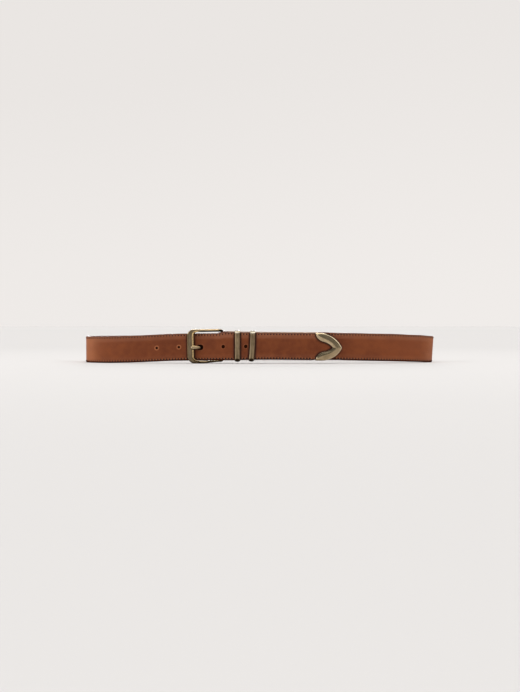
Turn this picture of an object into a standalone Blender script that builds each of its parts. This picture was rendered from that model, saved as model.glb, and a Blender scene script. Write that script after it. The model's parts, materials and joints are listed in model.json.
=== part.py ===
# Ranger belt, buckled into a loop that stands on its lower edge.
# Metres. X runs along the front, Y away from the viewer, Z up the strap's width.
# A place on the belt is (along, out, up): along the loop from the middle of its front,
# out from the centre of its inner layer, and up from the surface it stands on.

import math

import bmesh
import bpy
import numpy as np

# Loop in plan, at the centre of the leather
LOOP_HALF_LENGTH = 0.1980
LOOP_HALF_DEPTH = 0.0546
LOOP_FULLNESS = 2.35          # 2 is an ellipse, more is boxier
LOOP_FULLNESS_SKEW = -0.25    # the right end is the tighter one
LOOP_SAMPLES = 4096
LOOP_SHIFT_Y = 0.0029         # puts the origin under the middle of the whole belt
RIGHT_LEAN = 0.0018           # how far the foot of the right end stands in
RIGHT_LEAN_SPAN = (0.216, 0.015, 0.100)   # its middle, full within, none beyond

# Leather
STRAP_WIDTH = 0.030
STRAP_THICK = 0.003
TAB_THICK = 0.002             # skived where it is folded back
TAB_END = 0.014
TAB_STEPS = 20
STATION_STEP = 0.005
GAP = 0.0003                  # between pieces that touch
BASE_RAISE = 0.0009           # how far the inner layer stands above the strap end
BASE_RAISE_END = (0.070, 0.100)

# How far the lower edge of the strap lifts off the surface: along, rise
LIFT_ROWS = (
    (-0.330, 0.0008),
    (-0.250, 0.0000),
    (-0.182, 0.0000),
    (-0.150, 0.0006),
    (-0.122, 0.0017),
    (-0.100, 0.0028),
    (-0.080, 0.0033),
    (-0.035, 0.0037),
    (0.008, 0.0042),
    (0.044, 0.0039),
    (0.097, 0.0034),
    (0.125, 0.0027),
    (0.153, 0.0019),
    (0.180, 0.0010),
    (0.210, 0.0000),
    (0.250, 0.0000),
    (0.330, 0.0008),
    (0.432, 0.0010),
)

# Strap end over the hinge, under the keepers and into the tip
RAMP_START = -0.072
RAMP_END = -0.044
SECOND_LAYER = STRAP_THICK + GAP
TIP_RAMP = (0.018, 0.056)
TIP_LAYER = 0.0044

# Hinge bar and the fold around it
HINGE_ALONG = -0.0417
HINGE_RADIUS = 0.0017
FOLD_PLAY = 0.0007            # the fold lies loosely round the bar
FOLD_INNER_RADIUS = HINGE_RADIUS + FOLD_PLAY
HINGE_OUT = -(FOLD_INNER_RADIUS + STRAP_THICK / 2)
FOLD_STEPS = 14
TAB_RAMP_END = -0.0295
SLOT_ALONG = (-0.0500, -0.0368)
SLOT_HALF_WIDTH = 0.0031

# Holes
HOLE_PITCH = 0.0248
HOLE_FIRST = -0.1146
HOLE_COUNT = 5
HOLE_RADIUS = 0.0017
USED_HOLE = 2
USED_HOLE_ALONG = (-0.0697, -0.0619)
USED_HOLE_WIDTH = 0.0050
HOLE_SIDES = 16

# Buckle frame
FRAME_ALONG = (-0.0804, -0.0400)
FRAME_HALF_HEIGHT = 0.0189
FRAME_WINDOW = (-0.0721, -0.0434)
FRAME_WINDOW_HALF = 0.0160
FRAME_WINDOW_RAISE = 0.0001
FRAME_CENTRE = (-0.0600, 0.01908)
FRAME_TURN = math.radians(0.8)
FRAME_CORNERS = ((0.0075, 0.0040), (0.0040, 0.0006))   # outer and inner radius, bar then hinge
FRAME_BAR_OUT = 0.00365
FRAME_SLOPE = (-0.0670, -0.0434)
FRAME_BAR_FADE = (-0.0721, -0.0630)   # where the bar's section turns into the round arm
FRAME_BAR_STEPS = 4
FRAME_CORNER_STEPS = 5
FRAME_ARM_STEPS = 9

# Section of the front bar: across from the outer to the inner edge, height from its middle
BAR_SECTION = (
    (0.00, -0.0008),
    (0.06, -0.00155),
    (0.50, -0.00155),
    (0.94, -0.00155),
    (1.00, -0.0009),
    (1.00, 0.0007),
    (0.93, 0.0013),
    (0.83, 0.00155),
    (0.73, 0.0012),
    (0.64, 0.0006),
    (0.30, 0.0003),
    (0.04, -0.0002),
)

# Tongue
TONGUE_RING_THICK = 0.0016
TONGUE_RING_WIDTH = 0.0050
TONGUE_RING_START = math.radians(165)
TONGUE_RING_STEPS = 20
TONGUE_UP = 0.0188

# Section of the tongue: across its width, depth, as parts of half of each
TONGUE_SECTION = (
    (1.00, 0.45),
    (0.72, 1.00),
    (-0.72, 1.00),
    (-1.00, 0.45),
    (-1.00, -0.45),
    (-0.72, -1.00),
    (0.72, -1.00),
    (1.00, -0.45),
)

# Middle line of the tongue beyond its ring: along, out, thickness, width
TONGUE_ROWS = (
    (-0.0460, -0.00110, 0.0018, 0.0047),
    (-0.0500, -0.00120, 0.0021, 0.0044),
    (-0.0560, -0.00170, 0.0022, 0.0042),
    (-0.0614, -0.00210, 0.0022, 0.0041),
    (-0.0625, -0.00205, 0.0022, 0.0041),
    (-0.0636, -0.00155, 0.0022, 0.0041),
    (-0.0703, 0.00500, 0.0022, 0.0042),
    (-0.0714, 0.00590, 0.0022, 0.0042),
    (-0.0727, 0.00645, 0.0022, 0.0042),
    (-0.0745, 0.00670, 0.0021, 0.0038),
    (-0.0757, 0.00670, 0.0018, 0.0030),
    (-0.0764, 0.00655, 0.0010, 0.0016),
)

# Keepers: along, lean, bow
KEEPERS = (
    ("keeper_1", -0.0248, math.radians(0.0), 0.0000),
    ("keeper_2", -0.0088, math.radians(-2.9), 0.0004),
)
KEEPER_WIDTH = 0.0058
KEEPER_HALF_HEIGHT = 0.0173
KEEPER_OPENING_HALF = 0.0160
KEEPER_OUT = (-0.0053, 0.0072)
KEEPER_OPENING_OUT = (-0.0041, 0.0051)
KEEPER_CORNERS = ((0.0030, 0.0004), (0.0014, 0.0003))  # outer and inner radius, front then back
KEEPER_FRONT_STEPS = 6
KEEPER_CORNER_STEPS = 4
KEEPER_SIDE_STEPS = 2

# Section of a keeper: across its width, depth from its inner to its outer face
KEEPER_SECTION = (
    (-0.50, 0.00),
    (0.50, 0.00),
    (0.50, 0.25),
    (0.38, 0.72),
    (0.20, 0.94),
    (0.00, 1.00),
    (-0.20, 0.94),
    (-0.38, 0.72),
    (-0.50, 0.25),
)

# Metal tip
TIP_START = 0.0610
TIP_ARC_START = 0.0660
TIP_APEX = 0.0904
TIP_HALF_HEIGHT = 0.0152
TIP_WALL = 0.0007
TIP_LIP = 0.0030
TIP_BACK_THICK = 0.0008
TIP_EDGE_THICK = 0.0010
TIP_RIM_THICK = 0.0008
TIP_RIDGE_THICK = 0.0019
TIP_RIDGE_PLACE = 0.55        # from the inner to the outer edge
TIP_APEX_DROP = 0.0012
TIP_STEPS = 16
TIP_RIDGE_STEPS = 4           # sections over which the ridge grows from a prong's end
SHOULDER = (0.0583, 0.0607)
POINT_STEPS = 14
POINT_BLUNT = 0.0004

# Inner edge of the tip's front: along, half height
TIP_INNER_ROWS = (
    (0.0610, 0.0139),
    (0.0617, 0.0115),
    (0.0639, 0.0086),
    (0.0674, 0.0064),
    (0.0730, 0.0048),
    (0.0765, 0.0030),
    (0.0797, 0.0000),
)

LEATHER = ("leather", (0.165, 0.047, 0.020), 0.85, 0.0)
BRASS = ("antique_brass", (0.22, 0.16, 0.08), 0.38, 1.0)


def smooth_step(value, start, end):
    part = min(max((value - start) / (end - start), 0.0), 1.0)
    return part * part * (3.0 - 2.0 * part)


def hermite(part, start, end, start_slope, end_slope):
    return (
        (2 * part**3 - 3 * part**2 + 1) * start
        + (part**3 - 2 * part**2 + part) * start_slope
        + (3 * part**2 - 2 * part**3) * end
        + (part**3 - part**2) * end_slope
    )


def smooth_rows(rows, count):
    """Points of a smooth curve through the rows, evenly spread along it."""
    rows = np.array(rows, dtype=float)
    steps = np.linalg.norm(np.diff(rows[:, :2], axis=0), axis=1)
    knots = np.concatenate(([0.0], np.cumsum(steps)))
    slopes = np.gradient(rows, knots, axis=0)
    points = []
    for run in np.linspace(0.0, knots[-1], count):
        i = min(int(np.searchsorted(knots, run, side="right")) - 1, len(rows) - 2)
        span = knots[i + 1] - knots[i]
        part = (run - knots[i]) / span
        points.append(hermite(part, rows[i], rows[i + 1], span * slopes[i], span * slopes[i + 1]))
    return np.array(points)


def loop_samples():
    """Along, x, y and the two parts of the outward normal, once round the loop."""
    turn = np.linspace(-math.pi, math.pi, LOOP_SAMPLES + 1) - math.pi / 2
    fullness = LOOP_FULLNESS + LOOP_FULLNESS_SKEW * np.cos(turn)
    reach = (np.abs(np.cos(turn)) ** fullness + np.abs(np.sin(turn)) ** fullness) ** (-1 / fullness)
    x = LOOP_HALF_LENGTH * np.cos(turn) * reach
    y = LOOP_HALF_DEPTH * np.sin(turn) * reach
    along = np.concatenate(([0.0], np.cumsum(np.hypot(np.diff(x), np.diff(y)))))
    dx = np.gradient(x, along)
    dy = np.gradient(y, along)
    length = np.hypot(dx, dy)
    front_middle = along[LOOP_SAMPLES // 2]
    return along - front_middle, x, y, dy / length, -dx / length, along[-1]


ALONG, LOOP_X, LOOP_Y, NORMAL_X, NORMAL_Y, LOOP_LENGTH = loop_samples()


def wrap(along):
    return (along - ALONG[0]) % LOOP_LENGTH + ALONG[0]


def place(along, out, up):
    """World point of a place on the belt."""
    s = wrap(along)
    middle, full, none = RIGHT_LEAN_SPAN
    out -= RIGHT_LEAN * (1.0 - smooth_step(abs(s - middle), full, none)) * (1.0 - up / STRAP_WIDTH)
    x = np.interp(s, ALONG, LOOP_X) + out * np.interp(s, ALONG, NORMAL_X)
    y = np.interp(s, ALONG, LOOP_Y) + out * np.interp(s, ALONG, NORMAL_Y)
    return (float(x), float(y) + LOOP_SHIFT_Y, up)


def lift_curve():
    """The lift rows closed into a loop, with slopes that never overshoot a row."""
    rows = np.array(LIFT_ROWS + ((LIFT_ROWS[0][0] + LOOP_LENGTH, LIFT_ROWS[0][1]),))
    rise = np.diff(rows[:, 1]) / np.diff(rows[:, 0])
    before = np.roll(rise, 1)
    steady = before * rise > 0
    slopes = np.where(steady, 2 * before * rise / np.where(steady, before + rise, 1.0), 0.0)
    return rows, np.append(slopes, slopes[0])


LIFT, LIFT_SLOPES = lift_curve()


def lift(along):
    """Height of the strap's lower edge above the surface."""
    s = wrap(along)
    if s < LIFT[0, 0]:
        s += LOOP_LENGTH
    i = min(int(np.searchsorted(LIFT[:, 0], s, side="right")) - 1, len(LIFT) - 2)
    span = LIFT[i + 1, 0] - LIFT[i, 0]
    slopes = span * LIFT_SLOPES[i], span * LIFT_SLOPES[i + 1]
    return float(hermite((s - LIFT[i, 0]) / span, LIFT[i, 1], LIFT[i + 1, 1], *slopes))


def base_lift(along):
    return lift(along) + BASE_RAISE * (1.0 - smooth_step(along, *BASE_RAISE_END))


def tip_centre(along):
    drop = TIP_APEX_DROP * smooth_step(along, TIP_START, TIP_APEX)
    return lift(along) + STRAP_WIDTH / 2 - drop


def tip_radius():
    reach = TIP_APEX - TIP_ARC_START
    return (reach**2 + TIP_HALF_HEIGHT**2) / (2 * TIP_HALF_HEIGHT)


def end_half_height(along, inset):
    """Half height of the pointed outline, inset from the tip's outer face."""
    radius = tip_radius()
    reach = max(along - TIP_ARC_START, 0.0)
    return math.sqrt(max((radius - inset) ** 2 - reach**2, 0.0)) - (radius - TIP_HALF_HEIGHT)


def pointed_outline(inset, count):
    """Upper half of the pointed outline: straight edge, then one arc to the apex."""
    radius = tip_radius() - inset
    low = tip_radius() - TIP_HALF_HEIGHT
    sweep = math.acos(low / radius)
    straight = TIP_ARC_START - TIP_START
    total = straight + radius * sweep
    points = []
    for i in range(count):
        run = total * i / (count - 1)
        angle = max(run - straight, 0.0) / radius
        x = TIP_START + min(run, straight) + radius * math.sin(angle)
        points.append((x, radius * math.cos(angle) - low))
    return points


def new_object(name, mesh_maker, material):
    mesh = bpy.data.meshes.new(name)
    bm = bmesh.new()
    mesh_maker(bm)
    bmesh.ops.recalc_face_normals(bm, faces=bm.faces)
    bmesh.ops.triangulate(bm, faces=bm.faces)
    bm.to_mesh(mesh)
    bm.free()
    mesh.shade_smooth()
    mesh.set_sharp_from_angle(angle=math.radians(35))
    mesh.materials.append(material)
    obj = bpy.data.objects.new(name, mesh)
    bpy.context.scene.collection.objects.link(obj)
    return obj


def new_material(name, colour, roughness, metallic):
    material = bpy.data.materials.new(name)
    material.use_nodes = True
    shader = material.node_tree.nodes["Principled BSDF"]
    shader.inputs["Base Color"].default_value = (*colour, 1.0)
    shader.inputs["Roughness"].default_value = roughness
    shader.inputs["Metallic"].default_value = metallic
    return material


def loft(bm, sections, closed=False):
    """Skin through sections of equal count; open ends get a flat cap."""
    rings = [[bm.verts.new(point) for point in section] for section in sections]
    pairs = list(zip(rings, rings[1:]))
    if closed:
        pairs.append((rings[-1], rings[0]))
    for first, second in pairs:
        for i in range(len(first)):
            j = (i + 1) % len(first)
            bm.faces.new((first[i], first[j], second[j], second[i]))
    if not closed:
        bm.faces.new(rings[0])
        bm.faces.new(rings[-1])


def strap_stations():
    """Middle of the leather from the folded tab to the point: along, out, thickness, low, high."""
    stations = []
    tab_out = -(STRAP_THICK / 2 + GAP + TAB_THICK / 2)
    fold_out = HINGE_OUT - FOLD_INNER_RADIUS - TAB_THICK / 2
    for s in np.linspace(TAB_END, HINGE_ALONG, TAB_STEPS, endpoint=False):
        out = fold_out + (tab_out - fold_out) * smooth_step(s, HINGE_ALONG, TAB_RAMP_END)
        stations.append((s, out, TAB_THICK, base_lift(s)))
    for i in range(FOLD_STEPS + 1):
        part = i / FOLD_STEPS
        angle = math.radians(270 - 180 * part)
        thick = TAB_THICK + (STRAP_THICK - TAB_THICK) * part
        radius = FOLD_INNER_RADIUS + thick / 2
        s = HINGE_ALONG + radius * math.cos(angle)
        stations.append((s, HINGE_OUT + radius * math.sin(angle), thick, base_lift(s)))
    first_lap_end = LOOP_LENGTH + RAMP_START
    for s in np.arange(HINGE_ALONG + STATION_STEP, first_lap_end, STATION_STEP):
        rise = base_lift(s) if s < LOOP_LENGTH / 2 else lift(s)
        stations.append((s, 0.0, STRAP_THICK, rise))
    for s in np.arange(first_lap_end, LOOP_LENGTH + SHOULDER[0], STATION_STEP / 2):
        local = s - LOOP_LENGTH
        out = SECOND_LAYER * smooth_step(local, RAMP_START, RAMP_END)
        out += (TIP_LAYER - SECOND_LAYER) * smooth_step(local, *TIP_RAMP)
        stations.append((s, out, STRAP_THICK, lift(s)))
    rows = [(s, out, thick, low, low + STRAP_WIDTH) for s, out, thick, low in stations]
    return rows + pointed_stations()


def pointed_stations():
    inset = TIP_WALL + GAP
    inside = TIP_HALF_HEIGHT - inset
    rows = []
    for s in (*SHOULDER, *np.linspace(TIP_ARC_START, TIP_APEX - inset - POINT_BLUNT, POINT_STEPS)):
        half = end_half_height(s, inset) if s > SHOULDER[1] else inside
        if s == SHOULDER[0]:
            half = STRAP_WIDTH / 2
        rows.append((LOOP_LENGTH + s, TIP_LAYER, STRAP_THICK, tip_centre(s) - half, tip_centre(s) + half))
    return rows


def make_strap(bm):
    rows = strap_stations()
    middle = np.array([row[:2] for row in rows])
    heading = np.gradient(middle, axis=0)
    heading /= np.linalg.norm(heading, axis=1)[:, None]
    sections = []
    for (s, out, thick, low, high), (ds, dn) in zip(rows, heading):
        inner = (s + dn * thick / 2, out - ds * thick / 2)
        outer = (s - dn * thick / 2, out + ds * thick / 2)
        sections.append([place(*inner, low), place(*inner, high), place(*outer, high), place(*outer, low)])
    loft(bm, sections)


def oval_cutter(bm, start, end, width, up, reach):
    """Prism through the leather with half-round ends."""
    radius = width / 2
    outline = []
    for i in range(HOLE_SIDES):
        angle = 2 * math.pi * (i + 0.5) / HOLE_SIDES
        centre = end - radius if math.cos(angle) > 0 else start + radius
        outline.append((centre + radius * math.cos(angle), up + radius * math.sin(angle)))
    loft(bm, [[place(s, out, z) for s, z in outline] for out in reach])


def make_strap_cutters(bm):
    for i in range(HOLE_COUNT):
        s = HOLE_FIRST + i * HOLE_PITCH
        up = lift(s) + STRAP_WIDTH / 2
        out = SECOND_LAYER * smooth_step(s, RAMP_START, RAMP_END)
        reach = (out - STRAP_THICK / 2 - GAP / 2, out + STRAP_THICK)
        if i == USED_HOLE:
            oval_cutter(bm, *USED_HOLE_ALONG, USED_HOLE_WIDTH, TONGUE_UP, (-STRAP_THICK, STRAP_THICK * 2))
        else:
            oval_cutter(bm, s - HOLE_RADIUS, s + HOLE_RADIUS, HOLE_RADIUS * 2, up, reach)
    slot = [(SLOT_ALONG[0], -1), (SLOT_ALONG[1], -1), (SLOT_ALONG[1], 1), (SLOT_ALONG[0], 1)]
    slot_reach = (HINGE_OUT * 3, (STRAP_THICK + GAP) / 2)
    loft(bm, [[place(s, out, TONGUE_UP + side * SLOT_HALF_WIDTH) for s, side in slot] for out in slot_reach])


def rounded_box(low, high, half, radii, steps):
    """Points round a box with its own corner radius at either end, counted alike for every size."""
    low_radius, high_radius = radii
    low_steps, corner_steps, side_steps, high_steps = steps
    points = []

    def run(start, end, count):
        for i in range(count):
            points.append([start[k] + (end[k] - start[k]) * i / count for k in (0, 1)])

    def corner(centre, radius, first):
        for i in range(corner_steps):
            angle = math.radians(first - 90 * i / corner_steps)
            points.append((centre[0] + radius * math.cos(angle), centre[1] + radius * math.sin(angle)))

    run((low, low_radius - half), (low, half - low_radius), low_steps)
    corner((low + low_radius, half - low_radius), low_radius, 180)
    run((low + low_radius, half), (high - high_radius, half), side_steps)
    corner((high - high_radius, half - high_radius), high_radius, 90)
    run((high, half - high_radius), (high, high_radius - half), high_steps)
    corner((high - high_radius, high_radius - half), high_radius, 0)
    run((high - high_radius, -half), (low + low_radius, -half), side_steps)
    corner((low + low_radius, low_radius - half), low_radius, 270)
    return points


def frame_out(along):
    """Height of the middle of the frame: level under the front bar, down to the hinge bar."""
    return FRAME_BAR_OUT + (HINGE_OUT - FRAME_BAR_OUT) * smooth_step(along, *FRAME_SLOPE)


def make_frame(bm):
    steps = (FRAME_BAR_STEPS, FRAME_CORNER_STEPS, FRAME_ARM_STEPS, FRAME_BAR_STEPS)
    outer_radii = (FRAME_CORNERS[0][0], FRAME_CORNERS[1][0])
    inner_radii = (FRAME_CORNERS[0][1], FRAME_CORNERS[1][1])
    outer = rounded_box(*FRAME_ALONG, FRAME_HALF_HEIGHT, outer_radii, steps)
    inner = rounded_box(*FRAME_WINDOW, FRAME_WINDOW_HALF, inner_radii, steps)
    sections = []
    for (outer_s, outer_z), (inner_s, inner_z) in zip(outer, inner):
        middle = (outer_s + inner_s) / 2
        bar = 1.0 - smooth_step(middle, *FRAME_BAR_FADE)
        section = []
        for i, (across, height) in enumerate(BAR_SECTION):
            angle = math.pi - 2 * math.pi * (1 - (i + 0.5) / len(BAR_SECTION)) + math.pi / len(BAR_SECTION)
            round_across = 0.5 + 0.5 * math.cos(angle)
            round_height = HINGE_RADIUS * math.sin(angle)
            f = round_across + (across - round_across) * bar
            h = round_height + (height - round_height) * bar
            s = outer_s + (inner_s - outer_s) * f
            z = outer_z + (inner_z + FRAME_WINDOW_RAISE - outer_z) * f
            turned_s = s - FRAME_CENTRE[0]
            along = FRAME_CENTRE[0] + turned_s * math.cos(FRAME_TURN) - z * math.sin(FRAME_TURN)
            up = FRAME_CENTRE[1] + turned_s * math.sin(FRAME_TURN) + z * math.cos(FRAME_TURN)
            section.append(place(along, frame_out(s) + h, up))
        sections.append(section)
    loft(bm, sections, closed=True)


def make_tongue(bm):
    rows = []
    ring_radius = HINGE_RADIUS + GAP + TONGUE_RING_THICK / 2
    for i in range(TONGUE_RING_STEPS + 1):
        angle = TONGUE_RING_START + (2.5 * math.pi - TONGUE_RING_START) * i / TONGUE_RING_STEPS
        s = HINGE_ALONG + ring_radius * math.cos(angle)
        out = HINGE_OUT + ring_radius * math.sin(angle)
        rows.append((s, out, TONGUE_RING_THICK, TONGUE_RING_WIDTH))
    rows.extend(TONGUE_ROWS)
    middle = np.array([row[:2] for row in rows])
    heading = np.gradient(middle, axis=0)
    heading /= np.linalg.norm(heading, axis=1)[:, None]
    sections = []
    for (s, out, thick, width), (ds, dn) in zip(rows, heading):
        section = []
        for across, deep in TONGUE_SECTION:
            depth = deep * thick / 2
            section.append(place(s - dn * depth, out + ds * depth, TONGUE_UP + across * width / 2))
        sections.append(section)
    loft(bm, sections)


def keeper_maker(along, lean, bow):
    def make(bm):
        steps = (KEEPER_SIDE_STEPS, KEEPER_CORNER_STEPS, KEEPER_SIDE_STEPS, KEEPER_FRONT_STEPS)
        outer_radii = (KEEPER_CORNERS[1][0], KEEPER_CORNERS[0][0])
        inner_radii = (KEEPER_CORNERS[1][1], KEEPER_CORNERS[0][1])
        outer = rounded_box(*KEEPER_OUT, KEEPER_HALF_HEIGHT, outer_radii, steps)
        inner = rounded_box(*KEEPER_OPENING_OUT, KEEPER_OPENING_HALF, inner_radii, steps)
        centre = lift(along) + STRAP_WIDTH / 2 + BASE_RAISE / 2
        sections = []
        for (outer_n, outer_z), (inner_n, inner_z) in zip(outer, inner):
            section = []
            for across, depth in KEEPER_SECTION:
                out = inner_n + (outer_n - inner_n) * depth
                z = inner_z + (outer_z - inner_z) * depth
                s = across * KEEPER_WIDTH + bow * (1.0 - (z / KEEPER_HALF_HEIGHT) ** 2)
                turned_s = s * math.cos(lean) - z * math.sin(lean)
                turned_z = s * math.sin(lean) + z * math.cos(lean)
                section.append(place(along + turned_s, out, centre + turned_z))
            sections.append(section)
        loft(bm, sections, closed=True)

    return make


def make_tip(bm):
    back = STRAP_THICK / 2 + GAP
    floor = back + TIP_BACK_THICK
    roof = TIP_LAYER + STRAP_THICK / 2 + GAP
    outer = pointed_outline(0.0, TIP_STEPS)
    channel = pointed_outline(TIP_WALL, TIP_STEPS)
    lip = pointed_outline(TIP_LIP, TIP_STEPS)
    inner = smooth_rows(TIP_INNER_ROWS, TIP_STEPS)
    half = []
    for i in range(TIP_STEPS):
        ridge = [inner[i][k] + (outer[i][k] - inner[i][k]) * TIP_RIDGE_PLACE for k in (0, 1)]
        grown = min(1.0, (i + 1) / TIP_RIDGE_STEPS)
        ridge_top = roof + TIP_EDGE_THICK + (TIP_RIDGE_THICK - TIP_EDGE_THICK) * grown
        half.append([
            (*inner[i], roof),
            (*inner[i], roof + TIP_EDGE_THICK),
            (*ridge, ridge_top),
            (*outer[i], roof + TIP_RIM_THICK),
            (*outer[i], back),
            (*lip[i], back),
            (*lip[i], floor),
            (*channel[i], floor),
            (*channel[i], roof),
        ])
    sections = [(section, 1) for section in half] + [(list(section), -1) for section in half[-2::-1]]
    for section, side in sections:
        section[:] = [place(s, out, tip_centre(s) + side * z) for s, z, out in section]
    loft(bm, [section for section, _ in sections])


def cut(obj, cutter):
    cutter.hide_render = True
    cutter.display_type = "WIRE"
    modifier = obj.modifiers.new("holes", "BOOLEAN")
    modifier.operation = "DIFFERENCE"
    modifier.solver = "EXACT"
    modifier.object = cutter


for old in list(bpy.data.objects):
    bpy.data.objects.remove(old, do_unlink=True)

leather = new_material(*LEATHER)
brass = new_material(*BRASS)
strap = new_object("strap", make_strap, leather)
cut(strap, new_object("strap_cutters", make_strap_cutters, leather))
new_object("buckle_frame", make_frame, brass)
new_object("tongue", make_tongue, brass)
for keeper_name, keeper_along, keeper_lean, keeper_bow in KEEPERS:
    new_object(keeper_name, keeper_maker(keeper_along, keeper_lean, keeper_bow), brass)
new_object("tip", make_tip, brass)
used = HOLE_FIRST + USED_HOLE * HOLE_PITCH
print("loop", round(LOOP_LENGTH, 4), "hinge to used hole", round(LOOP_LENGTH + used - HINGE_ALONG, 4))
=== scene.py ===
# Ranger belt: a stitched brown leather strap, buckled into a loop that stands on its edge,
# with an antique brass buckle, two half-round keepers and a pointed metal tip.
# Metres. A place on the belt is (along, out, up): along the loop from the middle of its front,
# out from the centre of its inner layer, and up from the surface it stands on.

import json
import math

import bmesh
import bpy
import numpy as np
from mathutils import Matrix
from mathutils.kdtree import KDTree

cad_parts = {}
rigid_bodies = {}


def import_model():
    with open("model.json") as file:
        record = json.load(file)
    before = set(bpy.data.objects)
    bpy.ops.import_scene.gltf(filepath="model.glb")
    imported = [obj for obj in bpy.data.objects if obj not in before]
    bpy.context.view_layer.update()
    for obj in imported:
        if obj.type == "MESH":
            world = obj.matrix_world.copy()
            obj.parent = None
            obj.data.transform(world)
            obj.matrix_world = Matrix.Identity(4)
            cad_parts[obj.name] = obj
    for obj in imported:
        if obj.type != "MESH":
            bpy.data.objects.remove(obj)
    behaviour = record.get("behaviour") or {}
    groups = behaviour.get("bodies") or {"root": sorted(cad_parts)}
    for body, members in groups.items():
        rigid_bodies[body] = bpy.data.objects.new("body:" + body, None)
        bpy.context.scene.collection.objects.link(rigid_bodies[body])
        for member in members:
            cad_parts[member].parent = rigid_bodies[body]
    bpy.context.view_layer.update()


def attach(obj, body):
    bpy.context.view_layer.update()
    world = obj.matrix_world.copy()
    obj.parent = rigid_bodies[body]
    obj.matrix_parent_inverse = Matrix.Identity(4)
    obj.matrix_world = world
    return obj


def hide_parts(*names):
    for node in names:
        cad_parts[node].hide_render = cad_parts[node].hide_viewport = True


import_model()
scene = bpy.context.scene
mm = 0.001


# Loop in plan, and how far the strap's lower edge lifts off the surface: along, rise
loopShape = {
    "halfLength": 0.1980,
    "halfDepth": 0.0546,
    "fullness": 2.35,           # 2 is an ellipse, more is boxier
    "fullnessSkew": -0.25,      # the right end is the tighter one
    "samples": 4096,
    "shiftY": 0.0029,
    "rightLean": 0.0018,        # how far the foot of the right end stands in
    "rightLeanSpan": (0.216, 0.015, 0.100),
    "innerRaise": 0.0009,       # how far the inner layer stands above the strap end
    "innerRaiseEnd": (0.070, 0.100),
    "liftRows": (
        (-0.330, 0.0008),
        (-0.250, 0.0000),
        (-0.182, 0.0000),
        (-0.150, 0.0006),
        (-0.122, 0.0017),
        (-0.100, 0.0028),
        (-0.080, 0.0033),
        (-0.035, 0.0037),
        (0.008, 0.0042),
        (0.044, 0.0039),
        (0.097, 0.0034),
        (0.125, 0.0027),
        (0.153, 0.0019),
        (0.180, 0.0010),
        (0.210, 0.0000),
        (0.250, 0.0000),
        (0.330, 0.0008),
        (0.432, 0.0010),
    ),
}

strapShape = {
    "width": 0.030,
    "thick": 0.003,
    "tabThick": 0.002,          # skived where it is folded back
    "tabEnd": 0.014,
    "tabRampEnd": -0.0295,
    "step": 0.0016,
    "pathStep": 0.0012,
    "ramp": (-0.072, -0.044),   # where the strap end climbs over the hinge
    "secondLayer": 0.0033,
    "tipRamp": (0.018, 0.056),
    "tipLayer": 0.0044,
    "shoulder": (0.0583, 0.0607),
    "edgeRound": 0.0011,
    "metalShadowReach": (0.0007, 0.0027),   # how far the painted shadow beside the metal reaches
    # painted side light: how much paler the front is painted towards either side, where more light falls:
    # place along X, share
    "paintedSideLight": (
        (-0.190, 0.20),
        (-0.166, 0.30),
        (-0.144, 0.12),
        (-0.110, 0.00),
        (0.075, 0.00),
        (0.127, 0.18),
        (0.155, 0.38),
        (0.171, 0.45),
        (0.190, 0.10),
    ),
    # how much higher the front's upper edge stands than an even strap's: place along X, rise
    "topRows": (
        (-0.1980, -0.00055),
        (-0.1930, -0.00055),
        (-0.1840, -0.00030),
        (-0.1735, -0.00028),
        (-0.1640, -0.00014),
        (-0.1400, 0.0),
        (-0.0445, 0.0),
        (-0.0395, 0.00120),
        (-0.0330, 0.00125),
        (-0.0248, 0.00085),
        (-0.0177, 0.00050),
        (-0.0088, 0.00032),
        (0.0000, 0.00012),
        (0.0100, 0.0),
        (0.0850, 0.0),
        (0.0978, 0.00036),
        (0.1070, 0.00046),
        (0.1250, 0.00045),
        (0.1340, 0.00054),
        (0.1430, 0.00065),
        (0.1525, 0.00072),
        (0.1620, 0.00062),
        (0.1710, 0.00048),
        (0.1810, 0.00055),
        (0.1910, 0.00015),
    ),
    "topRowsFront": (-0.020, 0.0),
    "denseFrom": -0.086,        # the rest of the run shows from close by
    "dimmerRightEnd": 0.35,          # the right-hand bend gets less of the pale paint
    "crease": (0.0130, 0.0007, 0.00028),   # the stitched channel: from the middle, half width, depth
}

hinge = {
    "along": -0.0417,
    "barRadius": 0.0017,
    "foldInside": 0.0024,
    "out": -0.0039,
    "slot": (-0.0500, -0.0368),
    "slotHalf": 0.0031,
}

holes = {
    "pitch": 0.0248,
    "first": -0.1146,
    "count": 5,
    "radius": 0.0017,
    "smaller": 0.0003,      # the two free holes before the buckle, which also get stronger painted highlights on their rims
    "used": 2,
    "usedAlong": (-0.0697, -0.0623),
    "usedWidth": 0.0054,
    "usedUp": 0.0180,           # level with the tongue's nose
    # paint: how far from a round hole's middle
    "rimWider": 0.00045,
    "ringInner": (0.0016, 0.0021),
    "ringOuter": (0.0030, 0.0023),
    "ringShare": (0.35, 0.95),
    "darkInside": (0.00208, 0.00178),
}


def smoothStep(value, start, end):
    part = np.clip((np.asarray(value, dtype=float) - start) / (end - start), 0.0, 1.0)
    return part * part * (3.0 - 2.0 * part)


def hermite(part, start, end, startSlope, endSlope):
    return (
        (2 * part**3 - 3 * part**2 + 1) * start
        + (part**3 - 2 * part**2 + part) * startSlope
        + (3 * part**2 - 2 * part**3) * end
        + (part**3 - part**2) * endSlope
    )


def smoothRows(rows, count):
    # points of a smooth curve through the rows, evenly spread along it
    rows = np.array(rows, dtype=float)
    steps = np.linalg.norm(np.diff(rows[:, :2], axis=0), axis=1)
    knots = np.concatenate(([0.0], np.cumsum(steps)))
    slopes = np.gradient(rows, knots, axis=0)
    run = np.linspace(0.0, knots[-1], count)
    i = np.clip(np.searchsorted(knots, run, side="right") - 1, 0, len(rows) - 2)
    span = (knots[i + 1] - knots[i])[:, None]
    part = (run - knots[i])[:, None] / span
    return hermite(part, rows[i], rows[i + 1], span * slopes[i], span * slopes[i + 1])


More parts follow.
